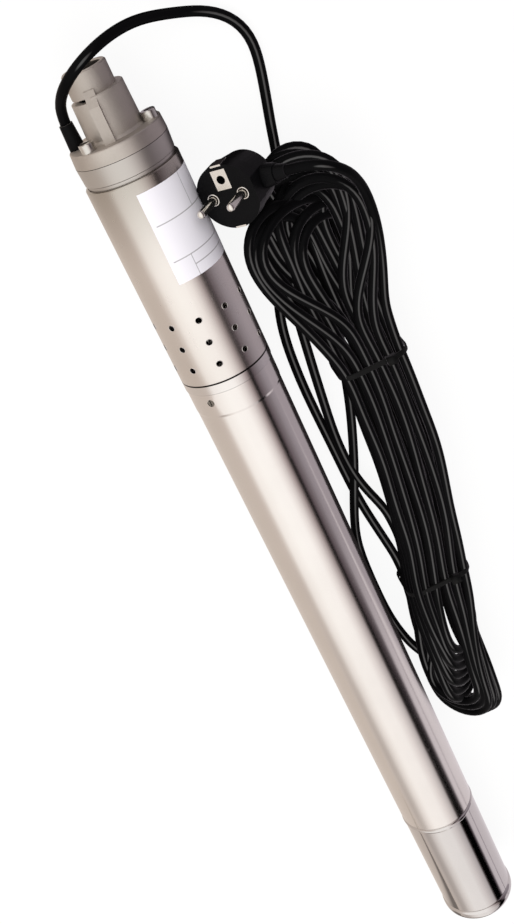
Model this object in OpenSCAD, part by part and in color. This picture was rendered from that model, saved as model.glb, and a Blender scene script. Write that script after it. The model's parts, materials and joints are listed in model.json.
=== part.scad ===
// Screw-type borehole pump lying on its side, with its power cord tied in a hank beside it.
// Stations run along the pump's axis from the flange's top face, positive towards the foot.
// Angles round the axis start at the top and turn towards the hank.

/* [Outlet head] */
// Radius of the outlet's threaded hole
outlet_r = 9.3; // [8:0.1:10]
// Depth of the outlet's thread
thread_len = 16; // [12:0.5:20]
// Radius of the outlet neck
neck_r = 12.7; // [12:0.1:14]
// Length of the outlet neck above the drum
neck_len = 13; // [8:0.5:20]
// Radius of the head's large half drum at its foot
drum_r = 17.1; // [16:0.1:17.4]
// Radius of the set-back half drum beside it
back_drum_r = 14.8; // [14:0.1:15.5]
// Height of the large half drum
drum_len = 24.5; // [20:0.5:32]
// How far the set-back half drum stays below the large one
drum_step = 2.5; // [1:0.5:6]
// Thickness of the head's ribs
rib_w = 6; // [3:0.2:7]
// How far the ribs stand out of the large drum
rib_proud = 1.8; // [0.4:0.1:2.2]
// Radius of the flange's lower edge
flange_r = 27.2; // [26.8:0.1:27.6]
// Thickness of the flange
flange_len = 8; // [6:0.5:12]
// Radius of the head's spigot in the ring below
spigot_r = 18; // [17:0.1:18.4]
// Length of the head's spigot
spigot_len = 4.5; // [4:0.1:5.5]
// Number of head bolts
bolt_count = 3; // [2:1:3]
// Radius of the bolt circle
bolt_circle_r = 21.8; // [21.5:0.1:22.2]
// Angle of the first bolt
bolt_angle = -47; // [-60:1:-40]
// Radius of a head bolt's shank
bolt_r = 2.5; // [2:0.1:2.6]
// Radius of a head bolt's head
bolt_head_r = 4.25; // [3.8:0.05:4.6]
// Length of a head bolt's head
bolt_head_len = 5; // [4:0.1:6]
// Length of a head bolt's shank
bolt_len = 17; // [14:0.5:20]

/* [Pump shell] */
// Length of the ring under the flange
top_ring_len = 13; // [10:0.5:18]
// Outer radius of the perforated shell
shell_r = 27.7; // [27.5:0.1:28.2]
// Wall of the perforated shell
shell_wall = 0.8; // [0.6:0.1:1]
// Length of the perforated shell
shell_len = 125; // [120:1:150]
// Radius of an inlet hole
hole_r = 1.8; // [1.2:0.1:2.5]
// Rows of inlet holes
hole_rows = 3; // [1:1:4]
// Inlet holes in each row
hole_columns = 10; // [4:1:16]
// Spacing of the rows
hole_pitch = 14.4; // [8:0.2:16]
// Distance from the last row to the shell's lower end
hole_edge = 11.1; // [9:0.1:14]

/* [Screw pump] */
// Radius of the screw's round section
screw_r = 5.5; // [4:0.1:6]
// Eccentricity of the screw
screw_off = 2; // [1:0.1:2.4]
// Pitch of the screw
screw_pitch = 24; // [20:1:30]
// Gap between the screw and the rubber
screw_gap = 0.35; // [0.3:0.05:0.5]
// Outer radius of the stator's steel sleeve
sleeve_r = 16.5; // [16.2:0.1:17]
// Wall of the stator's steel sleeve
sleeve_wall = 1.5; // [1:0.1:2]

/* [Drive] */
// Radius of the flexible shaft
flex_r = 2.5; // [2:0.1:3]
// Length of the flexible shaft between screw and coupling
flex_len = 17; // [14:0.5:20]
// Radius of the screw's plain tail
tail_r = 4.6; // [4:0.1:5]
// Length of the screw's plain tail
tail_len = 8; // [6:0.5:10]
// Radius of the shaft coupling
coupling_r = 8; // [7:0.1:9]
// Length of the shaft coupling
coupling_len = 14; // [13:0.5:15]
// Radius of the motor shaft in its bearings
shaft_r = 5; // [4.5:0.1:5.5]
// Radius of the motor shaft in the rotor
shaft_mid_r = 6.5; // [6:0.1:7]

/* [Bearings and seals] */
// Room for the shaft seal between coupling and bracket
seal_room = 10; // [9.5:0.5:12]
// Outer radius of a ball bearing
bearing_r = 15; // [14.5:0.1:15.5]
// Length of a ball bearing
bearing_len = 9; // [8:0.5:10]
// Radius of a bearing ball
ball_r = 2.4; // [2:0.1:2.5]
// Balls in a bearing
ball_count = 8; // [6:1:8]
// Running clearance of shafts and balls
run_gap = 0.05; // [0.03:0.01:0.08]
// Radius of the shaft seal's seat
seat_r = 9; // [8:0.1:10]
// Length of the shaft seal's seat
seat_len = 4; // [3:0.5:5]
// Length of the shaft seal's turning face
face_len = 4; // [3:0.5:5]
// Outer radius of the lip seal
lip_r = 11; // [10:0.1:12]
// Length of the lip seal
lip_len = 6; // [4:0.5:7]
// Section radius of the round seals
o_ring_r = 0.9; // [0.7:0.05:1]

/* [Motor] */
// Outer radius of the motor tube
tube_r = 27; // [26.8:0.1:27.2]
// Wall of the motor tube
tube_wall = 0.8; // [0.6:0.1:1]
// How far the tube's belled end stands out
band_proud = 0.3; // [0.1:0.05:0.5]
// Length of the tube's belled end
band_len = 16; // [14:0.5:20]
// Length of the motor tube below its belled end
tube_len = 371.5; // [340:0.5:420]
// Visible length of the bracket's collar
collar_len = 6.5; // [5:0.5:10]
// Length of the bracket's spigot in the pump shell
upper_spigot_len = 8; // [8:0.5:9]
// Length of the bracket's spigot in the motor tube
lower_spigot_len = 13.5; // [13.5:0.5:15]
// Number of screws that lock the tube to the bracket
lock_count = 3; // [2:1:4]
// Radius of a lock screw
lock_r = 2; // [1.5:0.1:2.1]
// Length of a lock screw
lock_len = 5; // [3:0.5:6]
// Length of the stator's iron core
core_len = 220; // [180:5:240]
// Bore radius of the stator's iron core
core_bore_r = 13.3; // [12.5:0.1:14]
// Air gap between rotor and core
air_gap = 0.3; // [0.25:0.05:0.5]
// Number of winding slots
slot_count = 16; // [12:1:18]
// Width of a winding slot
slot_w = 2.6; // [2:0.1:3]
// Length of the winding's heads beyond the core
winding_head = 24; // [16:1:30]
// Length of the rotor's end rings
end_ring_len = 8; // [5:0.5:12]

/* [Canister] */
// Width of the groove between tube and canister
joint_gap = 1; // [0.6:0.1:2]
// Outer radius of the canister
canister_r = 26.8; // [26.4:0.1:27]
// Length of the canister
canister_len = 95.5; // [90:0.5:120]
// Width of the groove above the bottom cap
cap_gap = 1; // [0.6:0.1:2]
// Outer radius of the bottom cap
cap_r = 27.5; // [26.5:0.1:27.6]
// Visible length of the bottom cap
cap_len = 10.5; // [9:0.5:14]
// Edge rounding of the bottom cap
cap_round = 6; // [4:0.2:8]
// Radius of the capacitor
capacitor_r = 17.5; // [15:0.1:19]
// Length of the capacitor
capacitor_len = 68; // [50:1:70]

/* [Power cord] */
// Radius of the power cord
cord_r = 3; // [2.5:0.1:3.2]
// Radius of the circle on which the cord enters the flange
cord_circle_r = 22.1; // [21.8:0.1:22.2]
// Angle at which the cord enters the flange
cord_angle = -105; // [-112:1:-100]
// Length of the cord's rubber boot above the flange
boot_len = 14; // [10:1:18]
// Radius of the rubber boot at the flange
boot_r = 4.4; // [4.2:0.05:4.6]
// Height of the hank's solid
hank_h = 34; // [28:0.5:36]
// Thickness of a tie round the hank
tie_t = 1.4; // [1:0.1:2]
// Width of a tie
tie_w = 5; // [3:0.5:8]

/* [Plug] */
// Radius of a plug pin
pin_r = 2.4; // [2.3:0.1:2.5]
// Spacing of the plug's pins
pin_pitch = 19; // [18:0.5:20]
// Free length of a plug pin
pin_len = 19; // [18:0.5:20]
// Radius of the plug's face
face_r = 18.5; // [18:0.1:19]
// Half width of the plug's face across its flats
face_flat = 17; // [16:0.1:17.5]
// Depth of the plug's body behind its face
plug_depth = 29; // [27:0.5:32]
// Distance from the plug's middle to the end of its cord sleeve
plug_neck = 29; // [27:0.5:34]
// Depth of the cord's axis behind the plug's face
plug_cord_depth = 18; // [16:0.5:19]
// Tilt of the plug towards the pump
plug_tilt = 36; // [34:1:38]

/* [Hidden] */
fine = 96;
eps = 0.5;
// Clearance of pieces that sit in or on each other
fit_gap = 0.05;

// Stations along the axis
rim_s = -(neck_len + drum_len);
seam_s = flange_len;
shell_s = seam_s + top_ring_len;
collar_s = shell_s + shell_len;
band_s = collar_s + collar_len;
step_s = band_s + band_len;
joint_s = step_s + tube_len;
canister_s = joint_s + joint_gap;
end_s = canister_s + canister_len;
cap_s = end_s + cap_gap;
foot_s = cap_s + cap_len;
mid_s = (rim_s + foot_s) / 2;
axis_z = shell_r;

// Ring under the flange
ring_low_r = flange_r - 0.6;
ring_groove_r = 25.6;
ring_groove_len = 2;
ring_spigot_len = 10;
shell_in_r = shell_r - shell_wall;
lip_in_r = ring_groove_r + 0.4;
hole_angle = -42;
sleeve_stop_s = seam_s + spigot_len + 1.5;
sleeve_stop_r = sleeve_r - 2.5;
o_groove_w = 2 * o_ring_r + 0.2;
o_groove_d = 2 * o_ring_r;
head_o_s = seam_s + 1.3;

// Screw, stator and drive: the stator takes the room that the drive and the seal leave it
bracket_s = collar_s - upper_spigot_len;
screw_lead = 1;
stator_len = bracket_s - seal_room - coupling_len - flex_len - tail_len - screw_lead - sleeve_stop_s;
stator_end_s = sleeve_stop_s + stator_len;
screw_s = sleeve_stop_s + screw_lead;
screw_len = stator_len;
screw_end_s = screw_s + screw_len;
tail_end_s = screw_end_s + tail_len;
flex_grip = 7;
flex_bend = 1;
end_play = 0.3;
coupling_s = tail_end_s + flex_len;
coupling_end_s = coupling_s + coupling_len;
shaft_top_s = coupling_s + flex_grip + 1;

// Upper bracket and its seals
bracket_end_s = band_s + lower_spigot_len;
bearing_seat_r = bearing_r + fit_gap;
upper_bearing_s = bracket_end_s - bearing_len;
lip_s = collar_s + 1;
seal_face_s = bracket_s - face_len - 2 * run_gap;
lock_s = band_s + 5.5;
lock_angle = -40;
lock_gap = 0.4;
band_in_r = tube_r + band_proud - tube_wall;
tube_in_r = tube_r - tube_wall;
bracket_o_s = lock_s + lock_r + 1;
gland_r = 4.2;
gland_len = 6;
lead_low_r = 20;
lead_bend = 12;
lead_bend_s = bracket_s - 36;
lead_low_s = bracket_s - 20;

// Bearings
ball_circle_r = (bearing_r + shaft_r) / 2;
race_gap = 1.45;

// Motor
bearing_drop = 14;
bracket_tail = 8;
joint_spigot = 14;
core_share = 0.52;
motor_len = 2 * winding_head + core_len + bearing_drop + bearing_len + bracket_tail;
motor_spare = joint_s - joint_spigot - bracket_end_s - motor_len;
core_s = bracket_end_s + winding_head + motor_spare * core_share;
core_end_s = core_s + core_len;
rotor_r = core_bore_r - air_gap;
slot_in_r = core_bore_r + 1.2;
slot_out_r = tube_in_r - 5;
lower_bearing_s = core_end_s + winding_head + bearing_drop;
lower_bearing_end_s = lower_bearing_s + bearing_len;
lower_bracket_end_s = lower_bearing_end_s + bracket_tail;
shaft_end_s = lower_bearing_end_s + 3;

// Canister
canister_in_r = canister_r - tube_wall;
cap_spigot = 14;
cap_edge = 2.4;
bead_proud = 0.6;
bead_len = 3.2;
cup_len = 16;
cup_wall = 2;
capacitor_end_s = end_s - cap_spigot + 2;
capacitor_s = capacitor_end_s - capacitor_len;
bottom_o_s = end_s - 5;
tab_w = 6;
tab_len = 9;
fill_r = 4;
fill_len = 8;

// Power cord: where the straight run leaves the boot, and the route's points to the hank
function cord_spot(s) = [
    s - mid_s,
    cord_circle_r * sin(cord_angle),
    axis_z + cord_circle_r * cos(cord_angle)];
lead_route = concat([cord_spot(-boot_len), cord_spot(-boot_len - 4)], [
    [-327.5, -20.6, 24.6], [-331, -19.2, 28], [-335.5, -16.3, 33.5], [-340, -12.3, 39.2],
    [-344.5, -6.2, 43.4], [-348.2, 1.2, 45], [-350.8, 9, 43.5], [-352.2, 17.5, 38.8],
    [-352.2, 27.2, 30.5], [-350.4, 38, 20.5], [-347, 48.5, 12.5], [-343, 59, 6.5], [-338.3, 71, 3.6],
    [-331.3, 81.5, 3.2], [-323, 87.6, 3.2], [-312.6, 90.3, 3.2], [-299.6, 89, 3.2], [-286.6, 86.4, 3.2],
    [-274.6, 83.7, 3.2], [-263.7, 81.2, 3.2], [-252, 79, 3.2], [-240, 76.2, 3.2], [-226, 71.8, 3.2],
    [-212, 66, 3.2], [-197, 58.6, 3.2], [-181, 50.6, 3.2], [-165, 44.2, 3.4], [-147, 40.2, 3.6],
    [-129, 38.6, 4], [-108, 38, 4.2], [-68, 39, 4.2], [-17, 41, 4.3], [15, 45, 4.4], [36, 48, 4.4]]);
// The hank's middle line and half width: along the axis, across, half width
hank_spine = [
    [-193, 71, 31], [-180, 73, 33.5], [-160, 76, 30], [-140, 78.5, 25], [-122, 81, 22.5],
    [-112, 81, 22.5], [-50, 79, 22], [20, 71, 23], [45, 66, 23.5], [55, 66, 23.5], [100, 61, 23.5],
    [150, 57.5, 23.5]];
// The longer, lower loops at the hank's head end, under the plug
hank_head = [[-221, 84, 30], [-190, 80, 32], [-160, 77.5, 28]];
hank_head_h = 16.5;
// Where the ties go round the hank: along the axis, across, half width
tie_spots = [[-117, 81, 22.5], [50, 66, 23.5]];
hank_z = tie_t + 0.3;
hank_gap = 0.3;
// The plug's face and the cord's way from its sleeve on to the hank
plug_at = [-253.1, 40.4, 48.5];
function plug_spot(y) = plug_at + [
    0,
    y * cos(plug_tilt) + plug_cord_depth * sin(plug_tilt),
    y * sin(plug_tilt) - plug_cord_depth * cos(plug_tilt)];
tail_route = concat([plug_spot(plug_neck), plug_spot(plug_neck + 6)], [
    [-254.5, 85.5, 57], [-257.5, 92, 56.5], [-258.6, 98.5, 52.5], [-255.6, 104.5, 46.5],
    [-248.5, 109, 40.5], [-238, 111.8, 35.5], [-225.5, 113, 32], [-210, 112.8, 30.5],
    [-195.5, 111.2, 30], [-178, 108, 30], [-162, 104, 31]]);
// Earth socket's plate, side clips and the plug's own forms
earth_off = 10;
earth_r = 2.5;
earth_depth = 16;
earth_plate = [11.4, 9, 1.2];
clip_w = 6.5;
clip_t = 1;
clip_len = 8.8;
clip_top = 0.1;
pin_root = 9;
pin_root_r = pin_r - 0.2;
pin_rise = 0.3;
plug_rim = 9;
sleeve_root_r = 9;
sleeve_mid_r = 5.8;

// Shapes used by several pieces
module on_axis() translate([-mid_s, 0, axis_z]) rotate([0, 90, 0]) children();
module around(angle) rotate([0, 0, 180 - angle]) children();
module turned(profile) rotate_extrude($fn = fine) polygon(profile);
module ring(outer, inner, start, end)
    turned([[inner, start], [outer, start], [outer, end], [inner, end]]);
module rod(radius, start, end) translate([0, 0, start]) cylinder(r = radius, h = end - start, $fn = fine);
module radial_hole(radius, start, end)
    rotate([0, 90, 0]) translate([0, 0, start]) cylinder(r = radius, h = end - start, $fn = 48);
module seal_ring(radius, station)
    rotate_extrude($fn = fine) translate([radius, station]) circle(r = o_ring_r, $fn = 32);

function unit(v) = v / norm(v);
function route_way(route, i) =
    i == 0 ? unit(route[1] - route[0]) :
    i == len(route) - 1 ? unit(route[i] - route[i - 1]) :
    unit(unit(route[i + 1] - route[i]) + unit(route[i] - route[i - 1]));
function route_side(way) = unit(cross(way, abs(way[2]) > 0.95 ? [1, 0, 0] : [0, 0, 1]));
function tube_points(route, radius, sides) = [
    for (i = [0 : len(route) - 1])
        let (way = route_way(route, i), side = route_side(way), rise = cross(side, way))
        for (k = [0 : sides - 1])
            route[i] + radius * (cos(360 * k / sides) * side + sin(360 * k / sides) * rise)];
function tube_faces(rings, sides) = concat(
    [[for (k = [0 : sides - 1]) k]],
    [for (i = [0 : rings - 2]) for (k = [0 : sides - 1])
        [i * sides + k, (i + 1) * sides + k, i * sides + (k + 1) % sides]],
    [for (i = [0 : rings - 2]) for (k = [0 : sides - 1])
        [i * sides + (k + 1) % sides, (i + 1) * sides + k, (i + 1) * sides + (k + 1) % sides]],
    [[for (k = [sides - 1 : -1 : 0]) (rings - 1) * sides + k]]);
// Round tube swept along a route
module tube(route, radius, sides)
    polyhedron(tube_points(route, radius, sides), tube_faces(len(route), sides), convexity = 6);

module discharge_head() color("#a59c90") on_axis() {
    rib_angle = -12;
    rib_top = drum_len + 3;
    difference() {
        union() {
            turned([[0, rim_s + 0.8], [neck_r - 0.8, rim_s], [neck_r, rim_s + 0.8],
                [neck_r, -drum_len + eps], [0, -drum_len + eps]]);
            turned([[0, -drum_len + drum_step], [back_drum_r - 0.6, -drum_len + drum_step],
                [back_drum_r, -1.5], [back_drum_r + 1.5, eps], [0, eps]]);
            around(rib_angle) intersection() {
                turned([[0, -drum_len], [drum_r - 1, -drum_len], [drum_r - 0.6, -drum_len + 0.4],
                    [drum_r, -1.5], [drum_r + 1.5, eps], [0, eps]]);
                translate([-drum_r * 2, -drum_r * 4, -drum_len])
                    cube([drum_r * 4, drum_r * 4, drum_len + eps]);
            }
            for (side = [0, 180]) around(rib_angle + side) translate([0, rib_w / 2, 0])
                rotate([90, 0, 0]) linear_extrude(rib_w) polygon([[neck_r - 2, -rib_top],
                    [neck_r + 0.8, -rib_top], [drum_r + rib_proud, -drum_len + 5],
                    [drum_r + rib_proud + 0.8, eps], [neck_r - 2, eps]]);
            turned([[0, 0], [flange_r - 1, 0], [flange_r - 0.5, 0.5], [flange_r, seam_s],
                [spigot_r, seam_s], [spigot_r, seam_s + spigot_len], [0, seam_s + spigot_len]]);
        }
        rod(outlet_r, rim_s - eps, rim_s + thread_len);
        turned([[0, rim_s - eps], [outlet_r + 1 + eps, rim_s - eps],
            [outlet_r, rim_s + 1], [0, rim_s + 1]]);
        turned([[0, rim_s + thread_len - eps], [outlet_r - 0.4, rim_s + thread_len - eps],
            [outlet_r - 0.4, -6], [sleeve_stop_r, seam_s + spigot_len + eps],
            [0, seam_s + spigot_len + eps]]);
        ring(spigot_r + eps, spigot_r - o_groove_d, head_o_s, head_o_s + o_groove_w);
        for (i = [0 : bolt_count - 1]) around(bolt_angle + i * 360 / bolt_count)
            translate([bolt_circle_r, 0, 0]) {
                rod(bolt_r + fit_gap, -eps, seam_s + eps);
                rod(bolt_head_r + 0.8, -bolt_head_len - 3, 0);
            }
        around(cord_angle) translate([cord_circle_r, 0, 0]) {
            rod(boot_r + fit_gap, -boot_len, 4);
            rod(cord_r + 0.15, 4 - eps, seam_s + eps);
        }
    }
}

module head_bolts() color("#b9b4ac") on_axis()
    for (i = [0 : bolt_count - 1]) around(bolt_angle + i * 360 / bolt_count)
        translate([bolt_circle_r, 0, 0]) difference() {
            union() {
                rod(bolt_r, -eps, bolt_len);
                turned([[0, -bolt_head_len], [bolt_head_r - 0.4, -bolt_head_len],
                    [bolt_head_r, -bolt_head_len + 0.4], [bolt_head_r, 0], [0, 0]]);
            }
            translate([0, 0, -bolt_head_len - eps]) cylinder(r = bolt_r * 0.92, h = 2.5 + eps, $fn = 6);
        }

module head_o_ring() color("#1d1d1d") on_axis()
    seal_ring(spigot_r - o_ring_r, head_o_s + o_groove_w / 2);

module cable_grommet() color("#151515") on_axis() around(cord_angle) translate([cord_circle_r, 0, 0])
    turned([[cord_r + fit_gap, -boot_len], [cord_r + 0.8, -boot_len], [boot_r, -2], [boot_r, 4],
        [cord_r + fit_gap, 4]]);

module pump_top_ring() color("#aca49a") on_axis() difference() {
    turned([[sleeve_stop_r, sleeve_stop_s - 1.4], [spigot_r + fit_gap, sleeve_stop_s - 1.4],
        [spigot_r + fit_gap, seam_s], [flange_r - 0.2, seam_s], [flange_r, seam_s + 0.3],
        [ring_low_r, shell_s - ring_groove_len - 0.4], [ring_low_r - 0.4, shell_s - ring_groove_len],
        [ring_groove_r, shell_s - ring_groove_len], [ring_groove_r, shell_s + shell_wall + fit_gap],
        [shell_in_r - fit_gap, shell_s + shell_wall + fit_gap],
        [shell_in_r - fit_gap, shell_s + ring_spigot_len], [sleeve_r + fit_gap, shell_s + ring_spigot_len],
        [sleeve_r + fit_gap, sleeve_stop_s], [sleeve_stop_r, sleeve_stop_s]]);
    for (i = [0 : bolt_count - 1]) around(bolt_angle + i * 360 / bolt_count)
        translate([bolt_circle_r, 0, 0]) rod(bolt_r + fit_gap, seam_s - eps, bolt_len + 1);
    around(cord_angle) translate([cord_circle_r, 0, 0])
        rod(cord_r + 0.15, seam_s - eps, shell_s + ring_spigot_len + eps);
}

module pump_shell() color("#b3aba1") on_axis() difference() {
    turned([[lip_in_r, shell_s], [shell_r - 1.1, shell_s], [shell_r - 0.4, shell_s + 0.25],
        [shell_r, shell_s + 0.9], [shell_r, collar_s], [shell_in_r, collar_s],
        [shell_in_r, shell_s + shell_wall], [lip_in_r, shell_s + shell_wall]]);
    for (row = [0 : hole_rows - 1]) for (column = [0 : hole_columns - 1])
        around(hole_angle + column * 360 / hole_columns)
            translate([0, 0, collar_s - hole_edge - row * hole_pitch])
            radial_hole(hole_r, shell_in_r - 2, shell_r + 2);
}

module stator_sleeve() color("#9a958d") on_axis()
    ring(sleeve_r, sleeve_r - sleeve_wall, sleeve_stop_s, stator_end_s);

// Slot that the screw's round section slides along as it turns
module stator_slot() {
    slot_r = screw_r + screw_gap;
    for (side = [-1, 1]) translate([side * 2 * screw_off, 0]) circle(r = slot_r, $fn = 36);
    square([4 * screw_off, 2 * slot_r], center = true);
}

module stator_rubber() color("#2b2a29") on_axis() difference() {
    rod(sleeve_r - sleeve_wall - fit_gap, sleeve_stop_s, stator_end_s);
    translate([0, 0, screw_s - 2]) rotate([0, 0, 180 * 2 / screw_pitch])
        linear_extrude(screw_len + 4, twist = 180 * (screw_len + 4) / screw_pitch, slices = 52)
            stator_slot();
}

module screw_rotor() color("#c2beb8") on_axis() translate([screw_off, 0, 0]) {
    translate([0, 0, screw_s])
        linear_extrude(screw_len, twist = 360 * screw_len / screw_pitch, slices = 74)
            translate([screw_off, 0]) circle(r = screw_r, $fn = 28);
    ring(tail_r, flex_r + run_gap, screw_end_s, tail_end_s);
}

// Slim shaft bent sideways by the screw's eccentricity
module flex_shaft() color("#8f8b85") on_axis() {
    upper = tail_end_s + flex_bend;
    lower = coupling_s - flex_bend;
    tube(concat(
        [[screw_off, 0, screw_end_s + end_play]],
        [for (t = [0 : 0.1 : 1])
            [screw_off * (1 + cos(180 * t)) / 2, 0, upper + (lower - upper) * t]],
        [[0, 0, coupling_s + flex_grip - end_play]]), flex_r, 24);
}

module shaft_coupling() color("#a8a39b") on_axis()
    turned([[flex_r + run_gap, coupling_s], [coupling_r - 1, coupling_s], [coupling_r, coupling_s + 1],
        [coupling_r, coupling_end_s], [shaft_r + run_gap, coupling_end_s], [shaft_r + run_gap, shaft_top_s],
        [0, shaft_top_s], [0, coupling_s + flex_grip], [flex_r + run_gap, coupling_s + flex_grip]]);

module lead_inside() color("#141414") on_axis() around(cord_angle) tube([
    [cord_circle_r, 0, -boot_len], [cord_circle_r, 0, shell_s + ring_spigot_len],
    [cord_circle_r - 0.6, 0, shell_s + ring_spigot_len + lead_bend],
    [lead_low_r + 0.6, 0, lead_bend_s], [lead_low_r, 0, lead_low_s],
    [lead_low_r, 0, bracket_end_s + 4]], cord_r, 12);

module lead_gland() color("#262524") on_axis() around(cord_angle) translate([lead_low_r, 0, 0])
    turned([[cord_r + fit_gap, bracket_s - 5], [cord_r + 0.5, bracket_s - 5],
        [gland_r - fit_gap, bracket_s],
        [gland_r - fit_gap, bracket_s + gland_len], [cord_r + fit_gap, bracket_s + gland_len]]);

module upper_bracket() color("#a39a8f") on_axis() difference() {
    turned([[0, bracket_s], [shell_in_r - fit_gap, bracket_s], [shell_in_r - fit_gap, collar_s],
        [shell_r - 0.3, collar_s], [shell_r, collar_s + 0.3], [shell_r, band_s - 0.3],
        [shell_r - 0.3, band_s], [band_in_r - fit_gap, band_s], [band_in_r - fit_gap, bracket_end_s],
        [0, bracket_end_s]]);
    rod(shaft_r + 0.4, bracket_s - eps, bracket_end_s + eps);
    rod(seat_r + fit_gap, bracket_s - eps, bracket_s + seat_len);
    rod(lip_r + fit_gap, lip_s, upper_bearing_s + eps);
    rod(bearing_seat_r, upper_bearing_s, bracket_end_s + eps);
    ring(band_in_r + eps, band_in_r - fit_gap - o_groove_d, bracket_o_s, bracket_o_s + o_groove_w);
    for (i = [0 : lock_count - 1]) around(lock_angle + i * 360 / lock_count) translate([0, 0, lock_s])
        radial_hole(lock_r + fit_gap, tube_r - lock_len - 1, tube_r + 2);
    around(cord_angle) translate([lead_low_r, 0, 0]) {
        rod(cord_r + 0.15, bracket_s - eps, bracket_end_s + eps);
        rod(gland_r, bracket_s - eps, bracket_s + gland_len);
    }
}

module seal_seat() color("#d8d4cc") on_axis()
    ring(seat_r, shaft_r + 0.4, bracket_s, bracket_s + seat_len);

module seal_face() color("#3b3a3a") on_axis()
    ring(seat_r - 0.8, shaft_r + run_gap, seal_face_s, seal_face_s + face_len);

// Coil that presses the turning face on to its seat
module seal_spring() color("#b7b2aa") on_axis() {
    wire_r = 0.5;
    turns = 2;
    steps = 16;
    low = coupling_end_s + wire_r + 0.2;
    high = seal_face_s - wire_r - 0.2;
    tube([for (i = [0 : turns * steps])
        [(shaft_r + 2) * cos(360 * i / steps), (shaft_r + 2) * sin(360 * i / steps),
            low + (high - low) * i / (turns * steps)]], wire_r, 8);
}

module lip_seal() color("#242322") on_axis()
    ring(lip_r, shaft_r + run_gap, lip_s, lip_s + lip_len);

// Groove that the balls run in
module ball_track(station)
    rotate_extrude($fn = fine) translate([ball_circle_r, station]) circle(r = ball_r + run_gap, $fn = 48);
module bearing_outer(start) color("#bdb9b3") on_axis() difference() {
    ring(bearing_r, ball_circle_r + race_gap, start, start + bearing_len);
    ball_track(start + bearing_len / 2);
}
module bearing_inner(start) color("#c4c0ba") on_axis() difference() {
    ring(ball_circle_r - race_gap, shaft_r + 0.02, start, start + bearing_len);
    ball_track(start + bearing_len / 2);
}
module bearing_balls(start) color("#d2cfca") on_axis()
    for (i = [0 : ball_count - 1]) rotate([0, 0, i * 360 / ball_count])
        translate([ball_circle_r, 0, start + bearing_len / 2]) sphere(r = ball_r, $fn = 48);

module upper_bearing_outer() bearing_outer(upper_bearing_s);
module upper_bearing_inner() bearing_inner(upper_bearing_s);
module upper_bearing_balls() bearing_balls(upper_bearing_s);
module lower_bearing_outer() bearing_outer(lower_bearing_s);
module lower_bearing_inner() bearing_inner(lower_bearing_s);
module lower_bearing_balls() bearing_balls(lower_bearing_s);

module bracket_o_ring() color("#1d1d1d") on_axis()
    seal_ring(band_in_r - fit_gap - o_ring_r, bracket_o_s + o_groove_w / 2);

module lock_screws() color("#8d867d") on_axis()
    for (i = [0 : lock_count - 1]) around(lock_angle + i * 360 / lock_count) translate([0, 0, lock_s])
        difference() {
            radial_hole(lock_r, tube_r - lock_len, tube_r + band_proud - 0.1);
            translate([tube_r + band_proud, 0, 0]) cube([2, 0.8, lock_r * 2 + eps], center = true);
        }

module motor_tube() color("#bab2a8") on_axis() difference() {
    turned([[band_in_r, band_s], [tube_r + band_proud, band_s], [tube_r + band_proud, step_s - 1.5],
        [tube_r, step_s], [tube_r, joint_s - 0.8], [tube_r - 0.25, joint_s - 0.25],
        [tube_r - 0.7, joint_s], [tube_in_r, joint_s], [tube_in_r, step_s], [band_in_r, step_s - 1.5]]);
    for (i = [0 : lock_count - 1]) around(lock_angle + i * 360 / lock_count) translate([0, 0, lock_s])
        radial_hole(lock_r + lock_gap, band_in_r - 1, tube_r + 2);
}

module motor_shaft() color("#aaa6a0") on_axis() turned([
    [0, shaft_top_s + 0.2], [shaft_r - 0.5, shaft_top_s + 0.2],
    [shaft_r, shaft_top_s + 0.7], [shaft_r, bracket_end_s], [shaft_mid_r, bracket_end_s],
    [shaft_mid_r, lower_bearing_s], [shaft_r, lower_bearing_s], [shaft_r, shaft_end_s], [0, shaft_end_s]]);

module rotor_core() color("#77746f") on_axis() turned([
    [shaft_mid_r + 0.02, core_s - end_ring_len], [rotor_r - 1.5, core_s - end_ring_len],
    [rotor_r - 1, core_s], [rotor_r, core_s], [rotor_r, core_end_s], [rotor_r - 1, core_end_s],
    [rotor_r - 1.5, core_end_s + end_ring_len], [shaft_mid_r + 0.02, core_end_s + end_ring_len]]);

// Rows of winding slots, each grown all round by a margin
module slots(start, end, grow) for (i = [0 : slot_count - 1]) rotate([0, 0, i * 360 / slot_count])
    translate([slot_in_r - grow, -slot_w / 2 - grow, start])
        cube([slot_out_r - slot_in_r + 2 * grow, slot_w + 2 * grow, end - start]);

module stator_core() color("#6d6964") on_axis() difference() {
    ring(tube_in_r - fit_gap, core_bore_r, core_s, core_end_s);
    slots(core_s - eps, core_end_s + eps, 0.1);
}

module windings() color("#a8622d") on_axis() {
    slots(core_s - 1, core_end_s + 1, 0);
    for (head = [[core_s - winding_head, core_s - 0.2], [core_end_s + 0.2, core_end_s + winding_head]])
        turned([[slot_in_r, head[0] + 3], [slot_in_r + 3, head[0]], [slot_out_r - 1, head[0]],
            [slot_out_r + 2, head[0] + 3], [slot_out_r + 2, head[1] - 3], [slot_out_r - 1, head[1]],
            [slot_in_r + 3, head[1]], [slot_in_r, head[1] - 3]]);
}

module lower_bracket() color("#9d968d") on_axis() difference() {
    turned([[0, lower_bearing_s - 2], [bearing_r + 3.5, lower_bearing_s - 2],
        [bearing_r + 3.5, lower_bearing_end_s - 2], [tube_in_r - fit_gap, lower_bearing_end_s - 2],
        [tube_in_r - fit_gap, lower_bracket_end_s], [0, lower_bracket_end_s]]);
    rod(bearing_seat_r, lower_bearing_s - 2 - eps, lower_bearing_end_s);
    rod(shaft_r + 1.5, lower_bearing_end_s - eps, shaft_end_s + 1.5);
    for (side = [-1, 1]) translate([0, side * (bearing_r + 6), 0])
        rod(2.5, lower_bearing_end_s - 2 - eps, lower_bracket_end_s + eps);
}

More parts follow.
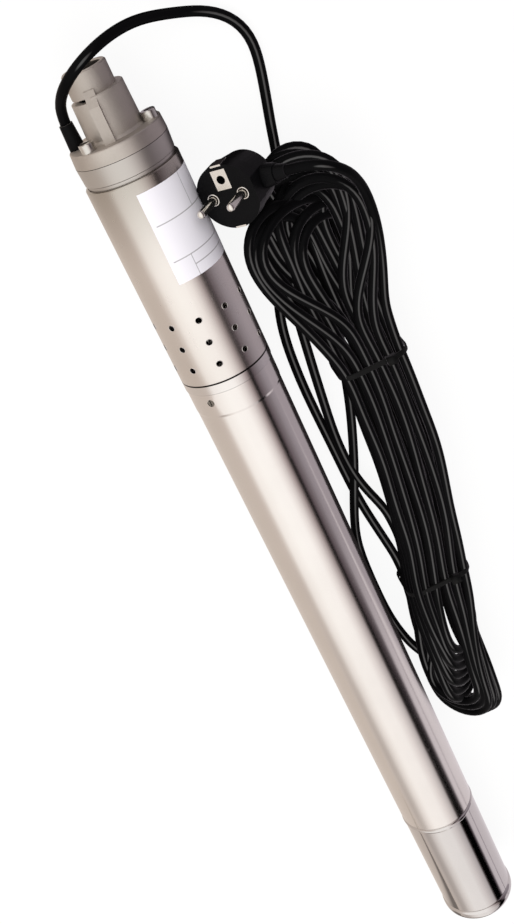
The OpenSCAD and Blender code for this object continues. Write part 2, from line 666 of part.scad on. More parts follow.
module joint_ring() color("#8b847b") on_axis() turned([
    [canister_in_r - 3, joint_s - joint_spigot], [tube_in_r - fit_gap, joint_s - joint_spigot],
    [tube_in_r - fit_gap, canister_s], [canister_in_r - fit_gap, canister_s],
    [canister_in_r - fit_gap, canister_s + joint_spigot], [canister_in_r - 3, canister_s + joint_spigot]]);

module canister() color("#c6c0b8") on_axis() turned([
    [canister_in_r, canister_s], [canister_r - bead_proud, canister_s],
    [canister_r + bead_proud / 2, canister_s + 0.15 * bead_len],
    [canister_r + bead_proud, canister_s + 0.4 * bead_len],
    [canister_r + bead_proud, canister_s + 0.6 * bead_len],
    [canister_r + bead_proud / 2, canister_s + 0.85 * bead_len], [canister_r, canister_s + bead_len],
    [canister_r, end_s - 0.5], [canister_r - 0.5, end_s], [canister_in_r, end_s]]);

module capacitor() color("#d9d8d3") on_axis() turned([
    [0, capacitor_s], [capacitor_r - 1, capacitor_s], [capacitor_r, capacitor_s + 1],
    [capacitor_r, capacitor_end_s], [0, capacitor_end_s]]);

module capacitor_tabs() color("#c7a350") on_axis()
    for (side = [-1, 1]) translate([-tab_w / 2, side * tab_w - 0.4, capacitor_s - tab_len])
        cube([tab_w, 0.8, tab_len]);

module bottom_o_ring() color("#1d1d1d") on_axis()
    seal_ring(canister_in_r - fit_gap - o_ring_r, bottom_o_s + o_groove_w / 2);

module bottom_cap() color("#c0bab2") on_axis() difference() {
    rotate_extrude($fn = fine) difference() {
        union() {
            translate([0, end_s - cap_spigot])
                square([canister_in_r - fit_gap, cap_spigot + cap_gap + eps]);
            translate([0, end_s - cap_spigot - cup_len + 2 + eps])
                square([capacitor_r + fit_gap + cup_wall, cup_len]);
            translate([0, cap_s]) square([cap_r - cap_edge, cap_len - cap_round]);
            translate([0, cap_s + cap_edge]) square([cap_r, cap_len - cap_round - cap_edge]);
            translate([cap_r - cap_edge, cap_s + cap_edge]) circle(r = cap_edge, $fn = 32);
            translate([0, cap_s]) square([cap_r - cap_round, cap_len]);
            translate([cap_r - cap_round, foot_s - cap_round]) circle(r = cap_round, $fn = 64);
        }
        translate([0, end_s - cap_spigot - cup_len]) square([capacitor_r + fit_gap, cup_len + 2]);
    }
    ring(canister_in_r + eps, canister_in_r - fit_gap - o_groove_d, bottom_o_s, bottom_o_s + o_groove_w);
    rod(fill_r + fit_gap, foot_s - fill_len, foot_s + eps);
}

module fill_plug() color("#b59247") on_axis() difference() {
    rod(fill_r, foot_s - fill_len + fit_gap, foot_s - 0.6);
    translate([-fill_r - 1, -0.6, foot_s - 2]) cube([2 * fill_r + 2, 1.2, 3]);
}

module cord_lead() color("#101010") tube(lead_route, cord_r, 10);

// Plan outline from a middle line and half widths, with a round end at each end
module hank_outline(spine) {
    last = len(spine) - 1;
    head = spine[0];
    foot = spine[last];
    arc_step = 15;
    polygon(concat(
        [for (i = [0 : last]) [spine[i][0], spine[i][1] + spine[i][2]]],
        [for (a = [90 - arc_step : -arc_step : arc_step - 90])
            [foot[0], foot[1]] + foot[2] * [cos(a), sin(a)]],
        [for (i = [last : -1 : 0]) [spine[i][0], spine[i][1] - spine[i][2]]],
        [for (a = [270 - arc_step : -arc_step : 90 + arc_step])
            [head[0], head[1]] + head[2] * [cos(a), sin(a)]]));
}

module cable_hank() color("#161616") translate([0, 0, hank_z]) {
    linear_extrude(hank_h) hank_outline(hank_spine);
    linear_extrude(hank_head_h) hank_outline(hank_head);
}

module hank_ties() color("#0c0c0c") for (spot = tie_spots)
    translate([spot[0] - tie_w / 2, spot[1], 0]) rotate([90, 0, 90]) linear_extrude(tie_w) difference() {
        outer = spot[2] + hank_gap + tie_t;
        translate([-outer, 0]) square([2 * outer, hank_h + 2 * hank_z]);
        translate([-outer + tie_t, tie_t]) square([2 * (outer - tie_t), hank_h + 2 * (hank_z - tie_t)]);
    }

module cord_tail() color("#101010") tube(tail_route, cord_r, 10);

// The plug's own frame: pins along Z, the cord leaves along Y, the earth socket lies at -X
module on_plug() translate(plug_at) rotate([plug_tilt, 0, 0]) children();
module face_outline(shrink) intersection() {
    circle(r = face_r - shrink, $fn = 48);
    square([2 * face_r, 2 * (face_flat - shrink)], center = true);
}

module plug_body() color("#17171a") on_plug() difference() {
    union() {
        translate([0, 0, -plug_rim]) linear_extrude(plug_rim) face_outline(0);
        hull() {
            translate([0, 0, -plug_rim - 1]) linear_extrude(1.5) face_outline(0.6, $fn = 32);
            translate([0, 0, -plug_depth]) linear_extrude(1) face_outline(7, $fn = 32);
            translate([0, 2, -plug_depth + 5]) linear_extrude(1) face_outline(2.5, $fn = 32);
        }
        hull() {
            translate([0, 4, -plug_cord_depth]) rotate([-90, 0, 0])
                cylinder(r = sleeve_root_r, h = 1, $fn = 32);
            translate([0, face_flat + 5, -plug_cord_depth]) rotate([-90, 0, 0])
                cylinder(r = sleeve_mid_r, h = 1, $fn = 32);
        }
        translate([0, face_flat, -plug_cord_depth]) rotate([-90, 0, 0])
            cylinder(r1 = sleeve_mid_r - 0.2, r2 = cord_r + 0.9, h = plug_neck - face_flat, $fn = 48);
    }
    for (side = [-1, 1]) translate([0, side * pin_pitch / 2, -pin_root - 0.5])
        cylinder(r = pin_r + fit_gap, h = pin_root + 1, $fn = 48);
    translate([-earth_off, 0, -earth_depth]) cylinder(r = earth_r, h = earth_depth + 1, $fn = 48);
    translate([-earth_off - earth_plate[0] / 2, -earth_plate[1] / 2, -earth_plate[2]] - fit_gap * [1, 1, 1])
        cube([earth_plate[0] + 2 * fit_gap, earth_plate[1] + 2 * fit_gap, 3]);
    for (side = [-1, 1]) translate([side * (face_r - clip_t / 2), 0, -clip_len / 2])
        cube([clip_t, clip_w, clip_len + 2 * clip_top] + 2 * fit_gap * [1, 1, 1], center = true);
}

module plug_pins() color("#c9c6c0") on_plug()
    for (side = [-1, 1]) translate([0, side * pin_pitch / 2, -pin_root]) {
        cylinder(r = pin_root_r, h = pin_root + pin_rise, $fn = 48);
        translate([0, 0, pin_root + pin_rise]) cylinder(r = pin_r, h = pin_len - pin_r - pin_rise, $fn = 48);
        translate([0, 0, pin_root + pin_len - pin_r]) sphere(r = pin_r, $fn = 48);
    }

module plug_earth_socket() color("#cbb79a") on_plug()
    translate([-earth_off, 0, -earth_plate[2]]) difference() {
    translate([-earth_plate[0] / 2, -earth_plate[1] / 2, 0]) cube(earth_plate);
    translate([0, 0, -eps]) cylinder(r = earth_r, h = earth_plate[2] + 2 * eps, $fn = 48);
}

module plug_earth_clips() color("#b9a994") on_plug()
    for (side = [-1, 1]) translate([side * (face_r - clip_t / 2), 0, -clip_len / 2 - clip_top])
        cube([clip_t, clip_w, clip_len], center = true);

discharge_head();
head_bolts();
head_o_ring();
cable_grommet();
pump_top_ring();
pump_shell();
stator_sleeve();
stator_rubber();
screw_rotor();
flex_shaft();
shaft_coupling();
lead_inside();
lead_gland();
upper_bracket();
seal_seat();
seal_face();
seal_spring();
lip_seal();
upper_bearing_outer();
upper_bearing_inner();
upper_bearing_balls();
bracket_o_ring();
lock_screws();
motor_tube();
motor_shaft();
rotor_core();
stator_core();
windings();
lower_bearing_outer();
lower_bearing_inner();
lower_bearing_balls();
lower_bracket();
joint_ring();
canister();
capacitor();
capacitor_tabs();
bottom_o_ring();
bottom_cap();
fill_plug();
cord_lead();
cable_hank();
hank_ties();
cord_tail();
plug_body();
plug_pins();
plug_earth_socket();
plug_earth_clips();
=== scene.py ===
"""Looks of a screw-type borehole pump that lies beside its tied power cord, in the part's own frame."""
import json
import logging
import math
from dataclasses import dataclass
from enum import Enum
from typing import Any, Sequence, Union

import bmesh
import bpy
import numpy as np
from mathutils import Matrix, Vector


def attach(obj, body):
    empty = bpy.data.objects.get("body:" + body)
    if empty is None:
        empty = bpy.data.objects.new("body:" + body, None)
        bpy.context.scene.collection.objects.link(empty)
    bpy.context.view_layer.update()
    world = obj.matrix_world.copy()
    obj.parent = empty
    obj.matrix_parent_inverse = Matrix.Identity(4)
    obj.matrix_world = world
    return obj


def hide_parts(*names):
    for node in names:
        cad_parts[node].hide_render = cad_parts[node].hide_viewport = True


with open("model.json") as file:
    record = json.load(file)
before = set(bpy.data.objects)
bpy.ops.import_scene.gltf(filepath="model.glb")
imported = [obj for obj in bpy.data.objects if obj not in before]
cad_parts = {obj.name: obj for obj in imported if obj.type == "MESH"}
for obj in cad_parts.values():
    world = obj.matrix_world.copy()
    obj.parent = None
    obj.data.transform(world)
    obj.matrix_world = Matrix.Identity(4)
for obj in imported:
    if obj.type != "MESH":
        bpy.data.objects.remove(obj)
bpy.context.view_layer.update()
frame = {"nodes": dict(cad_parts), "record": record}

log = logging.getLogger("pump")
MM = 0.001
HOUSING = "housing"
AXIS_HEIGHT = 27.7
Colour = tuple[float, float, float]
Point = tuple[float, float, float]
PerLayer = tuple[float, float, float]
PerColumn = tuple[float, float, float]
Span = tuple[float, float]
Stops = tuple[tuple[float, Colour], ...]


def add_object(name: str, data: bpy.types.ID) -> bpy.types.Object:
    """New object in the scene, at the origin."""
    made = bpy.data.objects.new(name, data)
    bpy.context.scene.collection.objects.link(made)
    return made


class Wire:
    """A node's socket that takes part in Python expressions on numbers."""

    def __init__(self, tree: "Tree", socket: bpy.types.NodeSocket) -> None:
        """Keeps the socket and the tree that it belongs to."""
        self.tree = tree
        self.socket = socket

    def beside(self, output: Union[int, str]) -> "Wire":
        """Another output of the same node."""
        return Wire(self.tree, self.socket.node.outputs[output])

    def __add__(self, other: Any) -> "Wire":
        """Sum."""
        return self.tree.math("ADD", self, other)

    def __radd__(self, other: Any) -> "Wire":
        """Sum with a number on the left."""
        return self.tree.math("ADD", other, self)

    def __sub__(self, other: Any) -> "Wire":
        """Difference."""
        return self.tree.math("SUBTRACT", self, other)

    def __rsub__(self, other: Any) -> "Wire":
        """Difference with a number on the left."""
        return self.tree.math("SUBTRACT", other, self)

    def __mul__(self, other: Any) -> "Wire":
        """Product."""
        return self.tree.math("MULTIPLY", self, other)

    def __rmul__(self, other: Any) -> "Wire":
        """Product with a number on the left."""
        return self.tree.math("MULTIPLY", other, self)

    def above(self, level: float) -> "Wire":
        """One where the value is greater than a level, else nought."""
        return self.tree.math("GREATER_THAN", self, level)

    def below(self, level: float) -> "Wire":
        """One where the value is less than a level, else nought."""
        return self.tree.math("LESS_THAN", self, level)

    def distance(self, level: float) -> "Wire":
        """Absolute distance of the value from a level."""
        return self.tree.math("ABSOLUTE", self - level)


class Tree:
    """A node tree under construction."""

    def __init__(self, group: bpy.types.NodeTree) -> None:
        """Keeps the tree that the nodes go into."""
        self.group = group

    def node(self, kind: str, settings: dict[str, Any] | None = None, inputs: dict[Any, Any] | None = None,
             output: Union[int, str] = 0) -> Wire:
        """Adds a node.

        Args:
            kind: Node's type.
            settings: Properties set first.
            inputs: Values, wires or lists of wires by socket name or number.
            output: Socket that is handed back.

        Returns:
            The chosen output, or the first input of a node without outputs.
        """
        made = self.group.nodes.new(kind)
        for name, value in (settings or {}).items():
            setattr(made, name, value)
        for key, value in (inputs or {}).items():
            for one in value if isinstance(value, list) else [value]:
                if isinstance(one, Wire):
                    self.group.links.new(one.socket, made.inputs[key])
                else:
                    made.inputs[key].default_value = one
        return Wire(self, made.outputs[output] if made.outputs else made.inputs[0])

    def math(self, operation: str, *values: Any) -> Wire:
        """Adds a Math node on numbers or wires."""
        return self.node("ShaderNodeMath", {"operation": operation}, dict(enumerate(values)))


class Shader(Tree):
    """Node tree of a material or the world."""

    def __init__(self, owner: Union[bpy.types.Material, bpy.types.World]) -> None:
        """Empties the owner's node tree."""
        owner.use_nodes = True
        super().__init__(owner.node_tree)
        self.group.nodes.clear()

    def place(self, scale: Point = (1.0, 1.0, 1.0)) -> Wire:
        """Object coordinates, stretched by a Mapping node."""
        where = self.node("ShaderNodeTexCoord", output="Object")
        return self.node("ShaderNodeMapping", None, {"Vector": where, "Scale": scale})

    def split(self, where: Wire) -> tuple[Wire, Wire, Wire]:
        """The three parts of a vector."""
        first = self.node("ShaderNodeSeparateXYZ", None, {0: where})
        return first, first.beside(1), first.beside(2)

    def noise(self, where: Wire, scale: float, detail: float = 3.0, rough: float = 0.55) -> Wire:
        """Noise from nought to one at a place."""
        return self.node("ShaderNodeTexNoise", None,
                         {"Vector": where, "Scale": scale, "Detail": detail, "Roughness": rough})

    def blend(self, share: Any, first: Any, second: Any) -> Wire:
        """Colour between two colours.

        Args:
            share: Share of the second colour.
            first: First colour or wire.
            second: Second colour or wire.

        Returns:
            The mixed colour.
        """
        widen = lambda c: c if isinstance(c, Wire) else (*c, 1.0)
        colours = {6: widen(first), 7: widen(second)}
        return self.node("ShaderNodeMix", {"data_type": "RGBA"}, {0: share, **colours}, 2)

    def span(self, value: Wire, first: float, last: float, start: float = 0.0, stop: float = 1.0) -> Wire:
        """Smooth change between two numbers over a stretch of a value."""
        return self.node("ShaderNodeMapRange", {"interpolation_type": "SMOOTHSTEP"}, {
            "Value": value, "From Min": first, "From Max": last, "To Min": start, "To Max": stop})

    def ramp(self, value: Wire, stops: Stops) -> Wire:
        """Colour ramp over a value."""
        made = self.node("ShaderNodeValToRGB", None, {0: value})
        ramp = made.socket.node.color_ramp
        while len(ramp.elements) < len(stops):
            ramp.elements.new(1.0)
        for element, (place, colour) in zip(ramp.elements, stops):
            element.position = place
            element.color = (*colour, 1.0)
        return made

    def bump(self, height: Wire, strength: float, distance: float) -> Wire:
        """Normal from a height map."""
        return self.node("ShaderNodeBump", None,
                         {"Height": height, "Strength": strength, "Distance": distance})

    def finish(self, **inputs: Any) -> None:
        """Adds the surface shader and the output.

        Args:
            inputs: Values or wires by the surface shader's socket names, with _ for a space.
        """
        surface = self.node("ShaderNodeBsdfPrincipled", None,
                            {name.replace("_", " "): value for name, value in inputs.items()})
        self.node("ShaderNodeOutputMaterial", None, {"Surface": surface})


class Grain(Enum):
    """Direction of a metal's fine lines, as the stretch of its noise."""

    ALONG = (14.0, 1100.0, 1100.0)
    ROUND = (1600.0, 22.0, 22.0)
    EVEN = (700.0, 700.0, 700.0)


@dataclass(frozen=True)
class Finish:
    """Base of the finishes: a name and a material made on demand."""

    name: str

    def shader(self) -> tuple[bpy.types.Material, Shader]:
        """New material of this name with an empty tree."""
        material = bpy.data.materials.new(self.name)
        return material, Shader(material)

    def material(self) -> bpy.types.Material:
        """The finished material."""
        raise NotImplementedError


@dataclass(frozen=True)
class SteelFinish(Finish):
    """Bare metal with fine lines, clouding, faint handling marks, painted shade lines along its seams and
    painted shade towards one end. Places and depths in millimetres.
    """

    light: Colour = (0.64, 0.60, 0.56)
    dark: Colour = (0.54, 0.50, 0.46)
    roughness: float = 0.3
    grain: Grain = Grain.ALONG
    lines: float = 0.06
    clouds: float = 0.05
    relief: float = 0.05
    shaded_seams: tuple[Span, ...] = ()
    seam_shade: Colour = (0.03, 0.027, 0.025)
    shaded_end: Span | None = None
    end_shade: Colour = (0.40, 0.37, 0.33)
    cloud_scale: float = 26.0
    mark_stretch: Point = (90.0, 260.0, 260.0)
    mark_level: float = 0.69
    mark_haze: float = 0.05
    depth: float = 0.2

    def material(self) -> bpy.types.Material:
        """Metal whose gloss follows its lines and clouds."""
        material, s = self.shader()
        fine = s.noise(s.place(self.grain.value), 1.0, detail=4.0, rough=0.6)
        cloud = s.noise(s.place(), self.cloud_scale, detail=4.0)
        marks = s.noise(s.place(self.mark_stretch), 1.0, detail=2.0).above(self.mark_level)
        colour = s.blend(cloud, self.dark, self.light)
        along = s.split(s.place())[0]
        # Painted shade: the colour darkens into the shade tone towards the stretch's first place.
        if self.shaded_end:
            most_shaded, unshaded = (place * MM for place in self.shaded_end)
            colour = s.blend(s.span(along, most_shaded, unshaded, 1.0, 0.0), colour, self.end_shade)
        # Painted shade: a dark line along each seam, where shade falls between parts.
        for seam, half in self.shaded_seams:
            colour = s.blend(along.distance(seam * MM).below(half * MM), colour, self.seam_shade)
        s.finish(
            Base_Color=colour, Metallic=1.0,
            Roughness=(self.roughness + self.lines * (fine - 0.5) + self.clouds * (cloud - 0.5)
                       + self.mark_haze * marks),
            Normal=s.bump(fine, self.relief, self.depth * MM))
        return material


@dataclass(frozen=True)
class CastFinish(Finish):
    """Cast and blasted steel with painted shade in its bore and a turned flange. Sizes in millimetres."""

    light: Colour = (0.66, 0.61, 0.565)
    dark: Colour = (0.34, 0.31, 0.28)
    bore_shade: Colour = (0.06, 0.053, 0.047)
    roughness: float = 0.62
    machined_from: float = -305.1
    bore_radius: float = 9.7
    grain_scale: float = 1500.0
    wave_scale: float = 120.0
    patch_scale: float = 45.0
    patch_share: float = 0.7
    patch_haze: float = 0.2
    grain_haze: float = 0.16
    turned_gloss: float = 0.16
    grain_height: float = 0.45
    relief: float = 0.3
    depth: float = 0.8

    def material(self) -> bpy.types.Material:
        """Grainy metal with uneven colour and painted shade in the bore, smooth where it is turned."""
        material, s = self.shader()
        grain = s.noise(s.place(), self.grain_scale, rough=0.7)
        waves = s.noise(s.place(), self.wave_scale)
        patch = s.noise(s.place(), self.patch_scale, detail=4.0)
        along, across, height = s.split(s.place())
        rise = height - AXIS_HEIGHT * MM
        # Painted shade: everything within the bore's radius of the outlet's axis is coloured dark.
        bored = (across * across + rise * rise).below((self.bore_radius * MM) ** 2)
        rough = 1.0 - along.above(self.machined_from * MM)
        uneven = patch * self.patch_share + grain * (1.0 - self.patch_share)
        s.finish(
            Base_Color=s.blend(bored, s.blend(uneven, self.dark, self.light), self.bore_shade), Metallic=1.0,
            Roughness=(self.roughness - self.turned_gloss * (1.0 - rough)
                       + rough * (self.grain_haze * (grain - 0.5) + self.patch_haze * (patch - 0.5))),
            Normal=s.bump((grain * self.grain_height + waves) * rough, self.relief, self.depth * MM))
        return material


@dataclass(frozen=True)
class SheathFinish(Finish):
    """Black rubber or plastic with a soft sheen, a dusty, uneven gloss and a painted highlight where it faces
    up. Depth in millimetres.
    """

    colour: Colour = (0.004, 0.004, 0.0042)
    dusty: Colour = (0.012, 0.012, 0.0125)
    roughness: float = 0.34
    pores: float = 1800.0
    relief: float = 0.1
    shine: float = 0.16
    painted_sheen: float = 0.0
    painted_sheen_facing: Span = (0.962, 0.999)
    painted_sheen_roughness: float = 0.16
    painted_sheen_index: float = 1.7
    wear_scale: float = 60.0
    wear_haze: float = 0.14
    pore_haze: float = 0.06
    depth: float = 0.3

    def material(self) -> bpy.types.Material:
        """Dark moulded surface with a painted highlight, a gloss coat only where it faces up."""
        material, s = self.shader()
        pore = s.noise(s.place(), self.pores, detail=2.0)
        wear = s.noise(s.place(), self.wear_scale, detail=4.0)
        # Painted highlight: a gloss coat weighted by how nearly the surface faces straight up.
        facing = s.split(s.node("ShaderNodeNewGeometry", output="Normal"))[2]
        s.finish(
            Base_Color=s.blend(wear, self.colour, self.dusty), Metallic=0.0, Specular_IOR_Level=self.shine,
            Roughness=self.roughness + self.wear_haze * (wear - 0.5) + self.pore_haze * (pore - 0.5),
            Coat_Weight=self.painted_sheen * s.span(facing, *self.painted_sheen_facing),
            Coat_Roughness=self.painted_sheen_roughness, Coat_IOR=self.painted_sheen_index,
            Normal=s.bump(pore, self.relief, self.depth * MM))
        return material


@dataclass(frozen=True)
class MouldedFinish(Finish):
    """Pale moulded or fired material with a slight unevenness. Depth in millimetres."""

    colour: Colour = (0.8, 0.79, 0.76)
    shade: Colour = (0.72, 0.71, 0.68)
    roughness: float = 0.4
    cloud_scale: float = 80.0
    clouds: float = 0.1
    relief: float = 0.05
    depth: float = 0.3

    def material(self) -> bpy.types.Material:
        """Plain pale surface."""
        material, s = self.shader()
        cloud = s.noise(s.place(), self.cloud_scale, detail=4.0)
        s.finish(Base_Color=s.blend(cloud, self.shade, self.colour), Metallic=0.0,
                 Roughness=self.roughness + self.clouds * (cloud - 0.5),
                 Normal=s.bump(cloud, self.relief, self.depth * MM))
        return material


@dataclass(frozen=True)
class WireFinish(Finish):
    """Bundles of lacquered winding wire. Depth in millimetres."""

    colour: Colour = (0.5, 0.2, 0.07)
    gap: Colour = (0.12, 0.04, 0.015)
    pitch: float = 900.0
    stretch: float = 0.05
    metal: float = 0.6
    roughness: float = 0.25
    haze: float = 0.2
    lacquer: float = 0.5
    relief: float = 0.4
    depth: float = 0.5

    def material(self) -> bpy.types.Material:
        """Wires side by side, under lacquer."""
        material, s = self.shader()
        wires = s.noise(s.place((self.pitch * self.stretch, self.pitch, self.pitch)), 1.0, detail=2.0)
        s.finish(Base_Color=s.blend(wires, self.gap, self.colour), Metallic=self.metal,
                 Roughness=self.roughness + self.haze * wires, Coat_Weight=self.lacquer,
                 Normal=s.bump(wires, self.relief, self.depth * MM))
        return material


@dataclass(frozen=True)
class StickerFinish(Finish):
    """Blank white sticker with ruled lines. Places are shares of its own map; depth in millimetres."""

    paper: Colour = (0.72, 0.715, 0.765)
    ink: Colour = (0.30, 0.30, 0.31)
    ink_share: float = 0.85
    rules: tuple[float, ...] = (0.236, 0.635)
    uprights: tuple[Point, ...] = ((0.46, 0.635, 1.0), (0.22, 0.0, 0.236))
    short_rule: Span = (0.12, 0.22)
    rule_half: float = 0.006
    upright_half: float = 0.0036
    margin: float = 0.04
    roughness: float = 0.32
    scuff_scale: float = 220.0
    scuffs: float = 0.12
    relief: float = 0.04
    depth: float = 0.2

    def material(self) -> bpy.types.Material:
        """White sheet with thin printed rules and no words."""
        material, s = self.shader()
        across, along, _ = s.split(s.node("ShaderNodeTexCoord", output="UV"))
        inside = across.distance(0.5).below(0.5 - self.margin)
        line = sum((along.distance(rule).below(self.rule_half) for rule in self.rules), along * 0.0)
        for place, low, high in self.uprights:
            stretch = along.above(low) * along.below(high)
            line = line + across.distance(place).below(self.upright_half) * stretch
        height, begin = self.short_rule
        line = line + along.distance(height).below(self.rule_half) * across.above(begin)
        scuff = s.noise(s.place(), self.scuff_scale, detail=4.0)
        s.finish(Base_Color=s.blend(line * inside * self.ink_share, self.paper, self.ink), Metallic=0.0,
                 Roughness=self.roughness + self.scuffs * (scuff - 0.5),
                 Normal=s.bump(scuff, self.relief, self.depth * MM))
        return material


@dataclass(frozen=True)
class FloorFinish(Finish):
    """Pale floor, white to the camera, with a painted reflection for the steel: tones that only mirror rays
    see, and a dark strip for the hank's reflection and shade. Places in metres.
    """

    pale: Colour = (0.9, 0.9, 0.9)
    white: Colour = (1.0, 1.0, 1.0)
    glow: float = 0.9
    near: Colour = (0.78, 0.69, 0.62)
    near_end: Colour = (0.26, 0.23, 0.21)
    near_fade: Span = (0.34, 0.40)
    near_slant: float = 0.5
    near_limit: float = -0.4
    far: Colour = (0.46, 0.41, 0.45)
    far_end: Colour = (0.82, 0.76, 0.79)
    far_fade: Span = (0.10, 0.24)
    distant: Colour = (0.42, 0.375, 0.415)
    distant_fade: Span = (0.4, 1.0)
    hank_reflection_shade: Colour = (0.02, 0.017, 0.018)
    hank_at: float = 0.049
    hank_edge: Span = (0.024, 0.028)
    hank_end: Span = (0.15, 0.19)
    change: Span = (0.0, 0.012)

    def material(self) -> bpy.types.Material:
        """Soft floor whose painted reflection tone changes across and along the pump."""
        material, s = self.shader()
        camera = s.node("ShaderNodeLightPath", output="Is Camera Ray")
        through = camera.beside("Is Transmission Ray")
        lit = s.node("ShaderNodeBsdfDiffuse", None, {"Color": (*self.pale, 1.0)})
        white = s.node("ShaderNodeEmission", None, {"Color": (*self.white, 1.0), "Strength": 1.0})
        seen = s.node("ShaderNodeMixShader", None, {0: self.glow * (camera + through), 1: lit, 2: white})
        # Painted reflection: mirror rays see these tones in place of the lit floor.
        along, across, _ = s.split(s.node("ShaderNodeNewGeometry"))
        dim = s.span(along + self.near_slant * across, *self.near_fade) * across.above(self.near_limit)
        near = s.blend(dim, self.near, self.near_end)
        far = s.blend(s.span(along, *self.far_fade), self.far, self.far_end)
        far = s.blend(s.span(across, *self.distant_fade), far, self.distant)
        # Painted reflection and shade of the hank: a dark strip in these tones beside it.
        beside_hank = s.span(across.distance(self.hank_at), *self.hank_edge, 1.0, 0.0)
        far = s.blend(beside_hank * s.span(along, *self.hank_end, 1.0, 0.0), far, self.hank_reflection_shade)
        tone = s.blend(s.span(across, *self.change), near, far)
        painted_reflection = s.node("ShaderNodeEmission", None, {"Color": tone, "Strength": 1.0})
        both = {0: camera.beside("Is Glossy Ray"), 1: seen, 2: painted_reflection}
        s.node("ShaderNodeOutputMaterial", None, {"Surface": s.node("ShaderNodeMixShader", None, both)})
        return material


FINISHES: dict[str, Finish] = {finish.name: finish for finish in (
    CastFinish("cast_steel"),
    SteelFinish("brushed_shell", (0.74, 0.705, 0.68), (0.67, 0.635, 0.61), 0.15),
    SteelFinish("satin_shell", (0.71, 0.67, 0.635), (0.64, 0.60, 0.57), 0.22, Grain.ROUND,
                shaded_seams=((-159.4, 0.35),), shaded_end=(-300.0, -228.0)),
    SteelFinish("turned_steel", (0.72, 0.69, 0.67), (0.65, 0.62, 0.60), 0.16, Grain.ROUND,
                shaded_seams=((-159.1, 0.45), (-152.8, 0.25))),
    SteelFinish("turned_ring", (0.52, 0.49, 0.46), (0.44, 0.415, 0.39), 0.38, Grain.ROUND,
                shaded_seams=((-297.2, 0.25),)),
    SteelFinish("polished_shell", (0.60, 0.575, 0.565), (0.55, 0.525, 0.515), 0.08, Grain.ROUND,
                lines=0.04, clouds=0.03, relief=0.02),
    SteelFinish("bolt_steel", (0.62, 0.60, 0.57), (0.50, 0.48, 0.45), 0.24, Grain.EVEN),
    SteelFinish("dull_screw", (0.30, 0.28, 0.26), (0.20, 0.19, 0.17), 0.4, Grain.EVEN),
    SteelFinish("bearing_steel", (0.62, 0.61, 0.60), (0.55, 0.54, 0.53), 0.16, Grain.ROUND),
    SteelFinish("core_iron", (0.26, 0.25, 0.24), (0.17, 0.16, 0.15), 0.45, Grain.ROUND,
                lines=0.2, clouds=0.1, relief=0.4),
    WireFinish("copper"),
    SteelFinish("brass", (0.70, 0.52, 0.24), (0.58, 0.42, 0.18), 0.3, Grain.EVEN),
    SheathFinish("seal_rubber", (0.0018, 0.0018, 0.002), (0.0045, 0.0045, 0.005), 0.45, shine=0.05),
    SheathFinish("stator_rubber", (0.02, 0.02, 0.02), (0.04, 0.04, 0.04), 0.55),
    MouldedFinish("seal_ceramic", (0.85, 0.83, 0.78), (0.78, 0.76, 0.71), 0.15),
    SheathFinish("seal_carbon", (0.04, 0.04, 0.04), (0.06, 0.06, 0.06), 0.3),
    MouldedFinish("capacitor_case"),
    SheathFinish("cord_rubber", (0.0015, 0.0015, 0.0017), (0.004, 0.004, 0.0044), 0.32,
                 shine=0.02, painted_sheen=0.9),
    SheathFinish("tie_plastic", (0.003, 0.003, 0.003), (0.008, 0.008, 0.008), 0.35, shine=0.05),
    SheathFinish("plug_plastic", (0.0016, 0.0016, 0.0018), (0.0042, 0.0042, 0.0048), 0.34,
                 pores=900.0, relief=0.14, shine=0.05),
    SteelFinish("plug_metal", (0.74, 0.71, 0.67), (0.62, 0.59, 0.55), 0.2, Grain.EVEN),
)}
OWN_FINISH: dict[str, str] = {
    "pump_shell": "satin_shell", "upper_bracket": "turned_steel", "pump_top_ring": "turned_ring",
    "joint_ring": "turned_steel", "lock_screws": "dull_screw"}


class Paint:
    """The finishes' materials, each made once."""

    def __init__(self) -> None:
        """Starts with no material made."""
        self._made: dict[str, bpy.types.Material] = {}

    def of(self, slot: str) -> bpy.types.Material:
        """Material of a slot."""
        if slot not in self._made:
            self._made[slot] = FINISHES[slot].material()
        return self._made[slot]

    def dress_nodes(self) -> None:
        """Gives every solid of the frame its slot's finish."""
        for row in frame["record"]["subparts"]:
            mesh = frame["nodes"][row["node"]].data
            mesh.materials.clear()
            mesh.materials.append(self.of(OWN_FINISH.get(row["node"], row["material_slot"])))


def ease(value: Any) -> Any:
    """Smooth step from nought to one, for a number or an array."""
    t = np.clip(value, 0.0, 1.0)
    return t * t * (3 - 2 * t)


def between(place: float, low: float, high: float, first: np.ndarray, second: np.ndarray) -> np.ndarray:
    """Point between two points, at a place between two levels."""
    return (high - place) / (high - low) * first + (place - low) / (high - low) * second


def curve_through(points: Sequence[Sequence[float]], step: float) -> np.ndarray:
    """Smooth line through points, sampled evenly.

    Args:
        points: Places that the line passes, in millimetres.
        step: Spacing of the samples, in millimetres.

    Returns:
        The samples, one row each.
    """
    p = np.asarray(points, float)
    p = np.vstack([2 * p[0] - p[1], p, 2 * p[-1] - p[-2]])
    rows = []
    for a, b, c, d in zip(p, p[1:], p[2:], p[3:]):
        t0 = 0.0
        t1 = t0 + math.sqrt(np.linalg.norm(b - a))
        t2 = t1 + math.sqrt(np.linalg.norm(c - b))
        t3 = t2 + math.sqrt(np.linalg.norm(d - c))
        count = max(2, int(np.linalg.norm(c - b) / step))
        for t in np.linspace(t1, t2, count, endpoint=False):
            bc = between(t, t1, t2, b, c)
            abc = between(t, t0, t2, between(t, t0, t1, a, b), bc)
            bcd = between(t, t1, t3, bc, between(t, t2, t3, c, d))
            rows.append(between(t, t1, t2, abc, bcd))
    rows.append(p[-2])
    return np.array(rows)


